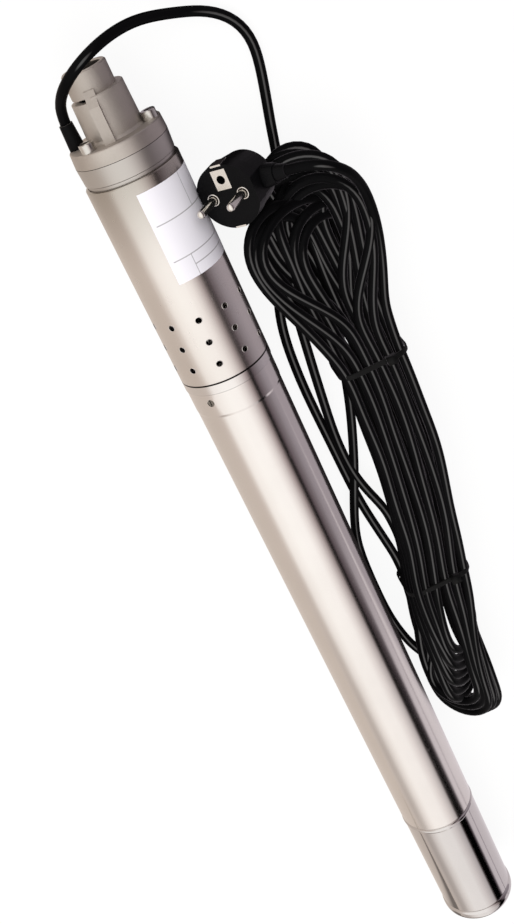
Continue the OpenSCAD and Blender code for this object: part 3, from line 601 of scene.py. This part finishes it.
@dataclass(frozen=True)
class LooseStrand:
    """A strand of the hank that bulges out towards the pump over a stretch."""

    turn: int
    route: tuple[Point, ...]


@dataclass(frozen=True)
class TurnSet:
    """Turns that lie the same way, low on one side and high on the other. Sizes in millimetres."""

    head_tip: float
    head_y: float
    head_radii: PerColumn
    head_shift: PerLayer
    head_lean: PerColumn
    head_inset: PerLayer
    foot_tip: float
    foot_inset: PerLayer
    foot_lean: PerColumn
    tilt: float
    low_side: int


@dataclass(frozen=True)
class Slot:
    """Place of one turn: its set, its layer in the set and its column from the inside."""

    lay: TurnSet
    layer: int
    column: int


TIE_PLACES: tuple[Span, ...] = ((-117.0, 81.0), (50.0, 66.0))
LONG = TurnSet(
    head_tip=-255.0, head_y=82.5, head_radii=(17.5, 22.0, 25.5), head_shift=(-6.5, -0.5, 7.5),
    head_lean=(4.0, -3.5, -2.0), head_inset=(12.5, -1.0, 16.0), foot_tip=180.0, foot_inset=(0.0, 4.0, 8.0),
    foot_lean=(-6.0, -4.0, -3.5), tilt=45.0, low_side=-1)
SHORT = TurnSet(
    head_tip=-229.0, head_y=66.5, head_radii=(17.0, 21.5, 24.5), head_shift=(3.0, 17.0, -5.0),
    head_lean=(-1.5, -1.0, 0.0), head_inset=(-7.5, 8.5, -4.0), foot_tip=160.0, foot_inset=(0.0, 17.0, 34.0),
    foot_lean=(6.0, 3.0, 2.0), tilt=-45.0, low_side=1)


@dataclass
class PowerCord:
    """Power cord from the boot through the tied hank to the plug, as one line. Sizes in millimetres."""

    length_m: float = 15.0
    diameter: float = 6.0
    layers: int = 3
    layer_pitch: float = 5.6
    floor_gap: float = 4.7
    columns: PerColumn = (3.5, 10.5, 17.5)
    head_pitch: float = 5.8
    head_open: PerColumn = (64.0, 80.0, 98.0)
    foot_pitch: float = 6.2
    foot_open: PerColumn = (52.0, 72.0, 96.0)
    foot_radii: PerColumn = (19.0, 20.0, 21.0)
    foot_at: Span = (58.0, 22.9)
    plane_gap: float = 5.8
    head_lift: float = 5.0
    lift_from: float = -190.0
    lift_to: float = -120.0
    fold_radius: float = 18.5
    fold_reach: float = 28.0
    fold_points: int = 22
    fold_step: float = 7.0
    narrow_fold: float = 0.75
    neck_points: int = 8
    run_points: int = 44
    ties_at: tuple[float, ...] = tuple(x for x, _ in TIE_PLACES)
    tie_hold: float = 0.65
    tie_reach: float = 30.0
    wander: float = 1.0
    wander_fade: float = 30.0
    sway_waves: Span = (29.0, 15.0)
    sway_second: float = 0.6
    rise_share: float = 0.6
    rise_waves: Span = (33.0, 17.0)
    rise_second: float = 0.5
    lead_joins: float = 52.0
    tail_joins: float = -135.0
    loose_gap: float = 18.0
    loose_step: float = 9.0
    spacing: float = 4.0
    easing: float = 6.5
    seed: int = 7
    bevel_steps: int = 4
    spine_ends: float = 40.0
    spine_points: int = 600
    spine_easing: int = 30
    spine: tuple[Span, ...] = (
        (-227, 78.5), (-176, 78.5), (-140, 79), (-117, 81), (-50, 80.5), (20, 72.5), (50, 66), (100, 61),
        (157, 59), (177, 59))
    lead: tuple[Point, ...] = (
        (-319.25, -21.35, 21.98), (-323.25, -21.35, 21.98), (-327.5, -20.6, 24.6), (-331, -19.2, 28),
        (-335.5, -16.3, 33.5), (-340, -12.3, 39.2), (-344.5, -6.2, 43.4), (-348.2, 1.2, 45),
        (-350.8, 9, 43.5), (-352.2, 17.5, 38.8), (-352.2, 27.2, 30.5), (-350.4, 38, 20.5), (-347, 48.5, 12.5),
        (-343, 59, 6.5), (-338.3, 71, 3.6), (-331.3, 81.5, 3.2), (-323, 87.6, 3.2), (-312.6, 90.3, 3.2),
        (-299.6, 89, 3.2), (-286.6, 86.4, 3.2), (-274.6, 83.7, 3.2), (-263.7, 81.2, 3.2), (-252, 79, 3.2),
        (-240, 76.2, 3.2), (-226, 71.8, 3.2), (-212, 66, 3.2), (-197, 58.6, 3.2), (-181, 50.6, 3.2),
        (-165, 44.2, 3.4), (-147, 40.2, 3.6), (-129, 38.6, 4), (-108, 38, 4.2), (-68, 39, 4.2),
        (-17, 41, 4.3), (15, 45, 4.4), (36, 48, 4.4))
    tail: tuple[Point, ...] = (
        (-150, 100, 32), (-163, 104.5, 32), (-180, 109, 33.5), (-198, 111.8, 37), (-212, 112, 41),
        (-223, 111, 45), (-231.5, 108.6, 49.5), (-238.5, 105, 54), (-244, 100.6, 57.6), (-248.5, 95, 59.8),
        (-251.8, 89.2, 59.8), (-253.1, 84.2, 57.9), (-253.1, 79.3, 54.51), (-253.1, 74.44, 50.98))
    loose: tuple[LooseStrand, ...] = (
        LooseStrand(1, ((-110, 66, 5), (-85, 60, 6.5), (-46, 47, 9.5), (-28, 40, 9.6), (-4, 32, 6.5),
                        (15, 28, 3.6), (50, 26.5, 3.2), (88, 28, 3.2), (112, 33, 4.2))),
        LooseStrand(5, ((-160, 52, 10.3), (-105, 46, 10.4), (-66, 43, 10.4), (-36, 45, 10.3),
                        (-5, 54, 10.3))),
    )

    def middle(self, x: Any) -> Any:
        """Hank's middle line across at a station along it."""
        xs, ys = np.array(self.spine).T
        grid = np.linspace(xs[0] - self.spine_ends, xs[-1] + self.spine_ends, self.spine_points)
        line = np.pad(np.interp(grid, xs, ys), self.spine_easing, mode="edge")
        kernel = np.hanning(2 * self.spine_easing + 1)
        line = np.convolve(line, kernel / kernel.sum(), mode="valid")
        return np.interp(x, grid, line)

    def slots(self) -> list[Slot]:
        """Turns in the cord's order: the low long ones, the short ones, then the long ones on top."""
        inward, outward = range(len(self.columns) - 1, -1, -1), range(len(self.columns))
        passes = ((LONG, 0, inward), (LONG, 1, outward), (SHORT, 0, outward), (SHORT, 1, inward),
                  (SHORT, 2, outward), (LONG, 2, outward))
        return [Slot(lay, layer, column) for lay, layer, order in passes for column in order]

    def level(self, slot: Slot, side: int) -> float:
        """Height of a turn's run in the tied part of the hank."""
        step = slot.layer + (0 if side == slot.lay.low_side else self.layers)
        return self.floor_gap + self.layer_pitch * step

    def head_loop(self, slot: Slot) -> tuple[float, float, float]:
        """Centre and radius of a turn's loop at the head's end."""
        radius = slot.lay.head_radii[slot.column]
        inset = self.head_pitch * (len(self.columns) - 1 - slot.column) + slot.lay.head_inset[slot.layer]
        across = slot.lay.head_y + slot.lay.head_shift[slot.layer] + slot.lay.head_lean[slot.column]
        return slot.lay.head_tip + inset + radius, across, radius

    def foot_loop(self, slot: Slot) -> tuple[float, float, float, float]:
        """Centre (along, across, up) and radius of a turn's tilted loop at the foot's end."""
        radius = self.foot_radii[slot.column]
        lean = math.radians(slot.lay.tilt)
        off = self.plane_gap * (slot.layer - (self.layers - 1) / 2)
        inset = self.foot_pitch * (len(self.columns) - 1 - slot.column) + slot.lay.foot_inset[slot.layer]
        across = self.foot_at[0] + slot.lay.foot_lean[slot.column] - off * math.sin(lean)
        return slot.lay.foot_tip - inset - radius, across, self.foot_at[1] + off * math.cos(lean), radius

    def run(self, turn: int, slot: Slot, side: int, rng: np.random.Generator) -> np.ndarray:
        """One straight run of a turn.

        Args:
            turn: Number of the turn.
            slot: Its place in the hank.
            side: -1 on the pump's side, 1 on the far side.
            rng: Source of the strands' wander.

        Returns:
            The run's points towards the foot.
        """
        head_x, head_y, head_r = self.head_loop(slot)
        foot_x, foot_y, foot_z, foot_r = self.foot_loop(slot)
        lean = math.radians(slot.lay.tilt)
        x = np.linspace(head_x, foot_x, self.run_points)
        phase = rng.uniform(0, 2 * math.pi, 4)
        near_ties = sum(np.exp(-((x - tie) / self.tie_reach) ** 2) for tie in self.ties_at)
        fade = ease((x - head_x) / self.wander_fade) * ease((foot_x - x) / self.wander_fade)
        loose = self.wander * (1 - self.tie_hold * near_ties) * fade
        sway = loose * (np.sin(x / self.sway_waves[0] + phase[0])
                        + self.sway_second * np.sin(x / self.sway_waves[1] + phase[1]))
        rise = self.rise_share * loose * (np.sin(x / self.rise_waves[0] + phase[2])
                                          + self.rise_second * np.sin(x / self.rise_waves[1] + phase[3]))
        y = self.middle(x) + side * self.columns[slot.column]
        z = np.full_like(x, self.level(slot, side))
        near_head = 1 - ease((x - head_x) / self.head_open[slot.column])
        near_foot = 1 - ease((foot_x - x) / self.foot_open[slot.column])
        y = y + (head_y + side * head_r - y) * near_head
        y = y + (foot_y + side * foot_r * math.cos(lean) - y) * near_foot
        z = z + (foot_z + side * foot_r * math.sin(lean) - z) * near_foot
        points = np.stack([x, y + sway, z + rise + self.raised(x)], 1)
        for strand in self.loose:
            if side < 0 and strand.turn == turn:
                points = self.detour(points, strand)
        return points

    def raised(self, x: Any) -> Any:
        """Rise of the hank's head over the lead that passes under it."""
        return self.head_lift * (1 - ease((x - self.lift_from) / (self.lift_to - self.lift_from)))

    def detour(self, points: np.ndarray, strand: LooseStrand) -> np.ndarray:
        """Run with the middle stretch led along a loose strand's own route."""
        first, last = strand.route[0][0], strand.route[-1][0]
        before = points[points[:, 0] < first - self.loose_gap]
        after = points[points[:, 0] > last + self.loose_gap]
        return np.vstack([before, curve_through(strand.route, self.loose_step), after])

    def head_fold(self, here: Slot, after: Slot) -> np.ndarray:
        """Half loop at the head's end, from one turn's far run to the next one's near run."""
        (x1, y1, r1), (x2, y2, r2) = self.head_loop(here), self.head_loop(after)
        z1, z2 = self.level(here, 1), self.level(after, -1)
        middle, half = (y1 + r1 + y2 - r2) / 2, (y1 + r1 - y2 + r2) / 2
        if half < self.narrow_fold * self.fold_radius:
            return self.bulb((x1, y1 + r1, z1), (x2, y2 - r2, z2))
        far = min(x1, x2)
        reach = max((r1 + r2) / 2, math.sqrt(self.fold_radius * half))
        angle = math.pi * (np.linspace(0, 1, self.fold_points)[1:-1] - 0.5)
        inward = np.arange(x1 - self.fold_step, far, -self.fold_step)
        outward = np.arange(far, x2, self.fold_step)
        x = np.concatenate([inward, far - reach * np.cos(angle), outward])
        y = np.concatenate([np.full(len(inward), y1 + r1), middle - half * np.sin(angle),
                            np.full(len(outward), y2 - r2)])
        z = z1 + (z2 - z1) * ease(np.linspace(0, 1, len(x)))
        return np.stack([x, y, z + self.raised(x)], 1)

    def bulb(self, start: Point, stop: Point) -> np.ndarray:
        """Wide loop at the head's end between two runs that lie close together.

        Args:
            start: End of the run that comes in.
            stop: Start of the run that goes out.

        Returns:
            The loop's points.
        """
        share = np.linspace(0, 1, self.neck_points)[1:-1]
        tip_x, tip_y = min(start[0], stop[0]) - self.fold_reach, (start[1] + stop[1]) / 2
        wide = self.fold_radius
        angle = np.linspace(-0.5, 0.5, self.fold_points) * math.pi
        x = np.concatenate([start[0] + (tip_x - start[0]) * share, tip_x - wide * np.cos(angle),
                            tip_x + (stop[0] - tip_x) * share])
        y = np.concatenate([start[1] + (tip_y + wide - start[1]) * ease(share), tip_y - wide * np.sin(angle),
                            tip_y - wide + (stop[1] - tip_y + wide) * ease(share)])
        z = np.linspace(start[2], stop[2], len(x))
        return np.stack([x, y, z + self.raised(x)], 1)

    def foot_fold(self, slot: Slot) -> np.ndarray:
        """Tilted half loop at the foot's end, from a turn's near run to its far run."""
        x, y, z, radius = self.foot_loop(slot)
        lean = math.radians(slot.lay.tilt)
        angle = np.linspace(-0.5, 0.5, self.fold_points)[1:-1] * math.pi
        across = radius * np.sin(angle)
        return np.stack([x + radius * np.cos(angle), y + across * math.cos(lean),
                         z + across * math.sin(lean)], 1)

    def route(self) -> np.ndarray:
        """Whole centreline from boot to plug, in metres."""
        rng = np.random.default_rng(self.seed)
        slots = self.slots()
        parts = [curve_through(self.lead, self.spacing)]
        for turn, slot in enumerate(slots):
            out = self.run(turn, slot, -1, rng)
            parts.append(out[out[:, 0] > self.lead_joins] if turn == 0 else out)
            parts.append(self.foot_fold(slot))
            back = self.run(turn, slot, 1, rng)[::-1]
            if turn == len(slots) - 1:
                parts.append(back[back[:, 0] > self.tail_joins])
                parts.append(curve_through(self.tail, self.spacing))
            else:
                parts.append(back)
                parts.append(self.head_fold(slot, slots[turn + 1]))
        return self.smoothed(np.vstack(parts)) * MM

    def smoothed(self, line: np.ndarray) -> np.ndarray:
        """Line with even spacing and with its sharp bends eased; both ends keep their place.

        Args:
            line: Centreline's points.

        Returns:
            The new points.
        """
        walked = np.concatenate([[0.0], np.cumsum(np.linalg.norm(np.diff(line, axis=0), axis=1))])
        even = np.linspace(0.0, walked[-1], int(walked[-1] / self.spacing) + 1)
        line = np.stack([np.interp(even, walked, line[:, i]) for i in range(3)], 1)
        reach = int(3 * self.easing / self.spacing)
        weights = np.exp(-0.5 * (np.arange(-reach, reach + 1) * self.spacing / self.easing) ** 2)
        padded = np.pad(line, ((reach, reach), (0, 0)), mode="reflect", reflect_type="odd")
        weights = weights / weights.sum()
        return np.stack([np.convolve(padded[:, i], weights, mode="valid") for i in range(3)], 1)

    def build(self, paint: Paint) -> bpy.types.Object:
        """Makes the cord's curve.

        Args:
            paint: Source of the finishes.

        Returns:
            The curve object.
        """
        line = self.route()
        curve = bpy.data.curves.new("power_cord", "CURVE")
        curve.dimensions = "3D"
        curve.bevel_depth = self.diameter * MM / 2
        curve.bevel_resolution = self.bevel_steps
        curve.use_fill_caps = True
        spline = curve.splines.new("POLY")
        spline.points.add(len(line) - 1)
        spline.points.foreach_set("co", np.hstack([line, np.ones((len(line), 1))]).ravel())
        curve.materials.append(paint.of("cord_rubber"))
        cord = add_object("power_cord", curve)
        steps = np.linalg.norm(np.diff(line, axis=0), axis=1)
        log.info("power cord: %.2f m in %d points", steps.sum(), len(line))
        return cord

    def declare(self, cord: bpy.types.Object) -> None:
        """Fixes the cord to the housing, hides the frame's cord pieces and keeps the cord out of mirror rays.

        Args:
            cord: The cord's curve.
        """
        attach(cord, HOUSING)
        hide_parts("cord_lead", "cable_hank", "cord_tail")
        cord.visible_glossy = False


class ShapeTree(Tree):
    """A Geometry Nodes tree with named sizes."""

    rim_points = 40
    wire_points = 10

    def __init__(self, name: str) -> None:
        """Makes the tree with a geometry output."""
        super().__init__(bpy.data.node_groups.new(name, "GeometryNodeTree"))
        self.group.interface.new_socket("Geometry", in_out="OUTPUT", socket_type="NodeSocketGeometry")
        self.entry = self.group.nodes.new("NodeGroupInput")
        self.exit = self.group.nodes.new("NodeGroupOutput")
        self.sizes: dict[str, float] = {}

    def size(self, name: str, value: float) -> Wire:
        """Adds a size in millimetres as a named input."""
        item = self.group.interface.new_socket(name, in_out="INPUT", socket_type="NodeSocketFloat")
        item.default_value = value * MM
        self.sizes[item.identifier] = value * MM
        return Wire(self, self.entry.outputs[name])

    def ring(self, rim: Wire, wire: Wire) -> Wire:
        """Adds a round ring in the XY plane.

        Args:
            rim: Radius of its middle line.
            wire: Radius of its section.

        Returns:
            The ring's mesh.
        """
        circle = "GeometryNodeCurvePrimitiveCircle"
        middle = self.node(circle, None, {"Resolution": self.rim_points, "Radius": rim})
        section = self.node(circle, None, {"Resolution": self.wire_points, "Radius": wire})
        return self.node("GeometryNodeCurveToMesh", None, {"Curve": middle, "Profile Curve": section})

    def bake(self, name: str, geometry: Wire, material: bpy.types.Material) -> bpy.types.Object:
        """Turns the tree's result into a plain mesh object.

        Args:
            name: Name of the piece.
            geometry: Geometry that the tree ends in.
            material: Finish of the piece.

        Returns:
            The new object, at the origin.
        """
        real = self.node("GeometryNodeRealizeInstances", None, {0: geometry})
        done = self.node("GeometryNodeSetMaterial", None, {"Geometry": real, "Material": material})
        self.group.links.new(done.socket, self.exit.inputs[0])
        holder = add_object(name + "_maker", bpy.data.meshes.new(name + "_maker"))
        modifier = holder.modifiers.new("make", "NODES")
        modifier.node_group = self.group
        for identifier, value in self.sizes.items():
            modifier[identifier] = value
        shown = holder.evaluated_get(bpy.context.evaluated_depsgraph_get())
        mesh = bpy.data.meshes.new_from_object(shown)
        mesh.name = name
        bpy.data.objects.remove(holder)
        piece = add_object(name, mesh)
        mesh.shade_smooth()
        return piece


@dataclass
class HankTies:
    """Two narrow straps round the hank, each with a small lock. Sizes in millimetres."""

    places: tuple[Span, ...] = TIE_PLACES
    half_width: float = 22.4
    height: float = 36.4
    band: float = 3.4
    thickness: float = 1.2
    corner: float = 9.0
    corner_points: int = 10
    edge: float = 0.35
    edge_points: int = 3
    lock: Point = (6.4, 6.0, 4.6)
    lock_place: float = 0.45
    lock_rise: float = 1.2

    def build(self, paint: Paint) -> bpy.types.Object:
        """Makes both straps as one piece.

        Args:
            paint: Source of the finishes.

        Returns:
            The straps.
        """
        tree = ShapeTree("hank_ties")
        width, height = tree.size("Width", 2 * self.half_width), tree.size("Height", self.height)
        band, thickness = tree.size("Band", self.band), tree.size("Thickness", self.thickness)
        corner, edge = tree.size("Corner", self.corner), tree.size("Edge", self.edge)
        box, fillet = "GeometryNodeCurvePrimitiveQuadrilateral", "GeometryNodeFilletCurve"
        loop = tree.node(box, None, {"Width": width, "Height": height})
        loop = tree.node(fillet, {"mode": "POLY"},
                        {"Curve": loop, "Count": self.corner_points, "Radius": corner})
        section = tree.node(box, None, {"Width": thickness, "Height": band})
        section = tree.node(fillet, {"mode": "POLY"},
                           {"Curve": section, "Count": self.edge_points, "Radius": edge})
        strap = tree.node("GeometryNodeCurveToMesh", None, {"Curve": loop, "Profile Curve": section})
        block = tree.node("GeometryNodeMeshCube", None, {"Size": tuple(v * MM for v in self.lock)})
        block = tree.node("GeometryNodeTransform", None, {
            "Geometry": block, "Translation": (self.half_width * MM * self.lock_place,
                                               (self.height / 2 + self.lock_rise) * MM, 0.0)})
        both = tree.node("GeometryNodeJoinGeometry", None, {0: [block, strap]})
        middle = (self.height / 2 + self.thickness / 2) * MM
        copies = [tree.node("GeometryNodeTransform", None, {
            "Geometry": both, "Rotation": (math.pi / 2, 0.0, math.pi / 2),
            "Translation": (x * MM, y * MM, middle)}) for x, y in self.places]
        joined = tree.node("GeometryNodeJoinGeometry", None, {0: copies})
        ties = tree.bake("cord_ties", joined, paint.of("tie_plastic"))
        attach(ties, HOUSING)
        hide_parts("hank_ties")
        ties.visible_glossy = False
        return ties


@dataclass
class HoleRims:
    """Bright rims round the shell's inlet holes. Sizes in millimetres and degrees."""

    first: float = -170.35
    pitch: float = 14.4
    rows: int = 3
    columns: int = 10
    angle: float = -42.0
    radius: float = 27.66
    rim: float = 1.95
    wire: float = 0.17

    def build(self, paint: Paint) -> bpy.types.Object:
        """Makes every rim as one piece.

        Args:
            paint: Source of the finishes.

        Returns:
            The rims.
        """
        tree = ShapeTree("hole_rims")
        rim, wire = tree.size("Rim", self.rim), tree.size("Wire", self.wire)
        pitch = tree.size("Pitch", self.pitch)
        number = tree.node("GeometryNodeInputIndex")
        row = tree.math("FLOOR", tree.math("DIVIDE", number, float(self.columns)))
        turn = tree.math("MULTIPLY_ADD", number, 2 * math.pi / self.columns, math.radians(self.angle))
        across = tree.math("SINE", turn) * (self.radius * MM)
        up = tree.math("MULTIPLY_ADD", tree.math("COSINE", turn), self.radius * MM, AXIS_HEIGHT * MM)
        along = self.first * MM - row * pitch
        spots = tree.node("GeometryNodePoints", None, {
            "Count": self.rows * self.columns,
            "Position": tree.node("ShaderNodeCombineXYZ", None, {0: along, 1: across, 2: up})})
        lean = tree.node("ShaderNodeCombineXYZ", None, {0: turn * -1.0})
        copies = tree.node("GeometryNodeInstanceOnPoints", None, {
            "Points": spots, "Instance": tree.ring(rim, wire), "Rotation": lean})
        rims = tree.bake("hole_rims", copies, paint.of("turned_steel"))
        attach(rims, HOUSING)
        return rims


@dataclass
class PinCollars:
    """Thin bright collars where the plug's pins leave its face. Sizes in millimetres and degrees."""

    face_at: Point = (-253.1, 40.4, 48.5)
    tilt: float = 36.0
    pitch: float = 19.0
    rim: float = 3.2
    wire: float = 0.42

    def build(self, paint: Paint) -> bpy.types.Object:
        """Makes both collars as one piece.

        Args:
            paint: Source of the finishes.

        Returns:
            The collars.
        """
        tree = ShapeTree("pin_collars")
        rim, wire = tree.size("Rim", self.rim), tree.size("Wire", self.wire)
        half = tree.size("Pitch", self.pitch) * 0.5
        line = tree.node("GeometryNodeMeshLine", {"mode": "END_POINTS"}, {
            "Count": 2, "Start Location": tree.node("ShaderNodeCombineXYZ", None, {1: half}),
            "Offset": tree.node("ShaderNodeCombineXYZ", None, {1: half * -1.0})})
        both = tree.node("GeometryNodeInstanceOnPoints", None,
                        {"Points": line, "Instance": tree.ring(rim, wire)})
        placed = tree.node("GeometryNodeTransform", None, {
            "Geometry": both, "Rotation": (math.radians(self.tilt), 0.0, 0.0),
            "Translation": tuple(v * MM for v in self.face_at)})
        collars = tree.bake("pin_collars", placed, paint.of("plug_metal"))
        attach(collars, HOUSING)
        return collars


@dataclass
class ShellSticker:
    """Blank white sticker round part of the pump shell. Sizes in millimetres and degrees."""

    radius: float = 27.78
    start: float = -277.0
    stop: float = -222.5
    left: float = -8.0
    right: float = 116.0
    columns: int = 72
    rows: int = 24

    def build(self) -> bpy.types.Object:
        """Makes the curved sheet with a map of its own.

        Returns:
            The sticker.
        """
        mesh = bpy.data.meshes.new("shell_sticker")
        shape = bmesh.new()
        layer = shape.loops.layers.uv.new("sheet")
        grid: list[list[tuple[bmesh.types.BMVert, Span]]] = []
        for row in range(self.rows + 1):
            v = row / self.rows
            line = []
            for column in range(self.columns + 1):
                u = column / self.columns
                angle = math.radians(self.left + (self.right - self.left) * u)
                place = Vector((self.start + (self.stop - self.start) * v, self.radius * math.sin(angle),
                                AXIS_HEIGHT + self.radius * math.cos(angle))) * MM
                line.append((shape.verts.new(place), (u, 1 - v)))
            grid.append(line)
        for below, above in zip(grid, grid[1:]):
            for a, b, c, d in zip(below, below[1:], above[1:], above):
                face = shape.faces.new([p[0] for p in (d, c, b, a)])
                for loop, corner in zip(face.loops, (d, c, b, a)):
                    loop[layer].uv = corner[1]
        bmesh.ops.recalc_face_normals(shape, faces=shape.faces)
        shape.to_mesh(mesh)
        shape.free()
        mesh.shade_smooth()
        mesh.materials.append(StickerFinish("blank_sticker").material())
        sheet = add_object("shell_sticker", mesh)
        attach(sheet, HOUSING)
        return sheet


@dataclass(frozen=True)
class Room:
    """Soft grey room, light at one side and dark low down at the other. Stops are shares of a turn."""

    upper: Stops = (
        (0.25, (0.78, 0.69, 0.62)), (0.288, (0.80, 0.71, 0.65)), (0.311, (0.93, 0.85, 0.79)),
        (0.338, (1.27, 1.23, 1.19)), (0.42, (1.38, 1.37, 1.34)), (0.50, (1.36, 1.34, 1.32)),
        (0.53, (1.20, 1.15, 1.13)), (0.555, (0.98, 0.92, 0.91)), (0.58, (0.68, 0.60, 0.60)),
        (0.606, (0.32, 0.26, 0.26)), (0.622, (0.0, 0.0, 0.0)), (0.636, (0.0, 0.0, 0.0)),
        (0.654, (0.16, 0.125, 0.14)), (0.69, (0.27, 0.235, 0.26)), (0.72, (0.37, 0.33, 0.365)),
        (0.75, (0.42, 0.375, 0.415)))
    lower: Stops = (
        (0.25, (0.78, 0.70, 0.65)), (0.284, (0.64, 0.58, 0.54)), (0.311, (0.72, 0.66, 0.62)),
        (0.341, (1.0, 0.94, 0.90)), (0.37, (1.17, 1.12, 1.08)), (0.40, (1.28, 1.25, 1.22)),
        (0.50, (1.25, 1.22, 1.20)), (0.55, (1.02, 0.96, 0.95)), (0.58, (0.82, 0.77, 0.77)),
        (0.604, (0.64, 0.60, 0.61)), (0.617, (0.10, 0.08, 0.08)), (0.626, (0.0, 0.0, 0.0)),
        (0.675, (0.0, 0.0, 0.0)), (0.69, (0.10, 0.08, 0.09)), (0.708, (0.80, 0.74, 0.78)),
        (0.75, (0.84, 0.78, 0.81)))
    change: Span = (0.52, 0.70)
    shift: float = 0.012
    shift_fade: Span = (0.30, 0.42)
    white: Colour = (1.0, 1.0, 1.0)

    def build(self) -> None:
        """Makes the room the scene's world, white to the camera."""
        world = bpy.data.worlds.new("room")
        bpy.context.scene.world = world
        s = Shader(world)
        along, across, height = s.split(s.node("ShaderNodeTexCoord", output="Generated"))
        angle = s.math("ARCTAN2", across, height)
        place = angle * (0.5 / math.pi) + 0.5 + s.span(along, *self.shift_fade, self.shift, 0.0)
        tone = s.blend(s.span(along, *self.change), s.ramp(place, self.upper), s.ramp(place, self.lower))
        colour = s.blend(s.node("ShaderNodeLightPath", output="Is Camera Ray"), tone, self.white)
        surface = s.node("ShaderNodeBackground", None, {"Color": colour, "Strength": 1.0})
        s.node("ShaderNodeOutputWorld", None, {"Surface": surface})


@dataclass(frozen=True)
class Lamp:
    """Soft lamp that faces the pump's middle. Sizes in metres."""

    name: str
    at: Point
    size: Span
    watts: float
    colour: Colour

    def hang(self) -> None:
        """Puts the lamp in the scene, unseen in mirrors."""
        data = bpy.data.lights.new(self.name, "AREA")
        data.shape = "RECTANGLE"
        data.size, data.size_y = self.size
        data.energy = self.watts
        data.color = self.colour
        lamp = add_object(self.name, data)
        lamp.location = self.at
        lamp.visible_glossy = False
        lamp.rotation_euler = (-Vector(self.at)).to_track_quat("-Z", "Y").to_euler()


@dataclass
class Studio:
    """Camera, floor, lamps and surroundings. Sizes in metres, the lens and the sensor in millimetres."""

    camera_at: Point = (-0.4437, 0.0, 0.6895)
    right: Point = (0.38667, 0.90115, 0.19599)
    up: Point = (-0.79155, 0.43336, -0.43088)
    back: Point = (-0.47322, 0.01148, 0.88087)
    lens: float = 47.34
    sensor: float = 36.0
    clip_start: float = 0.01
    floor_half: float = 4.0
    floor_level: float = -0.0003
    lamps: tuple[Lamp, ...] = (
        Lamp("key", at=(0.55, -0.75, 1.6), size=(1.9, 1.1), watts=17.0, colour=(1.0, 0.975, 0.95)),
        Lamp("fill", at=(-1.3, 0.5, 1.5), size=(1.2, 1.2), watts=7.0, colour=(0.97, 0.98, 1.0)))

    def build(self) -> None:
        """Sets up everything round the pump."""
        bpy.context.scene.view_settings.view_transform = "Standard"
        self.set_camera()
        self.lay_floor()
        Room().build()
        for lamp in self.lamps:
            lamp.hang()

    def set_camera(self) -> None:
        """Puts the camera where the photograph was taken from."""
        data = bpy.data.cameras.new("camera")
        data.lens = self.lens
        data.sensor_width = self.sensor
        data.clip_start = self.clip_start
        camera = add_object("camera", data)
        turn = Matrix((self.right, self.up, self.back)).transposed()
        camera.matrix_world = Matrix.Translation(self.camera_at) @ turn.to_4x4()
        bpy.context.scene.camera = camera

    def lay_floor(self) -> None:
        """Lays a plain pale floor under the pump."""
        mesh = bpy.data.meshes.new("floor")
        h, z = self.floor_half, self.floor_level
        mesh.from_pydata([(-h, -h, z), (h, -h, z), (h, h, z), (-h, h, z)], [], [(0, 1, 2, 3)])
        mesh.materials.append(FloorFinish("pale_floor").material())
        floor = add_object("floor", mesh)


def main() -> None:
    """Builds the studio and the pump's pieces in order."""
    logging.basicConfig(level=logging.INFO, format="%(name)s: %(message)s")
    Studio().build()
    paint = Paint()
    paint.dress_nodes()
    cord_maker = PowerCord()
    cord = cord_maker.build(paint)
    ties = HankTies().build(paint)
    log.info("ties: %d faces", len(ties.data.polygons))
    collars = PinCollars().build(paint)
    cord_maker.declare(cord)
    rims = HoleRims().build(paint)
    log.info("rims: %d faces, collars: %d faces", len(rims.data.polygons), len(collars.data.polygons))
    sticker = ShellSticker().build()
    log.info("sticker: %d faces", len(sticker.data.polygons))


if __name__ == "__main__":
    main()
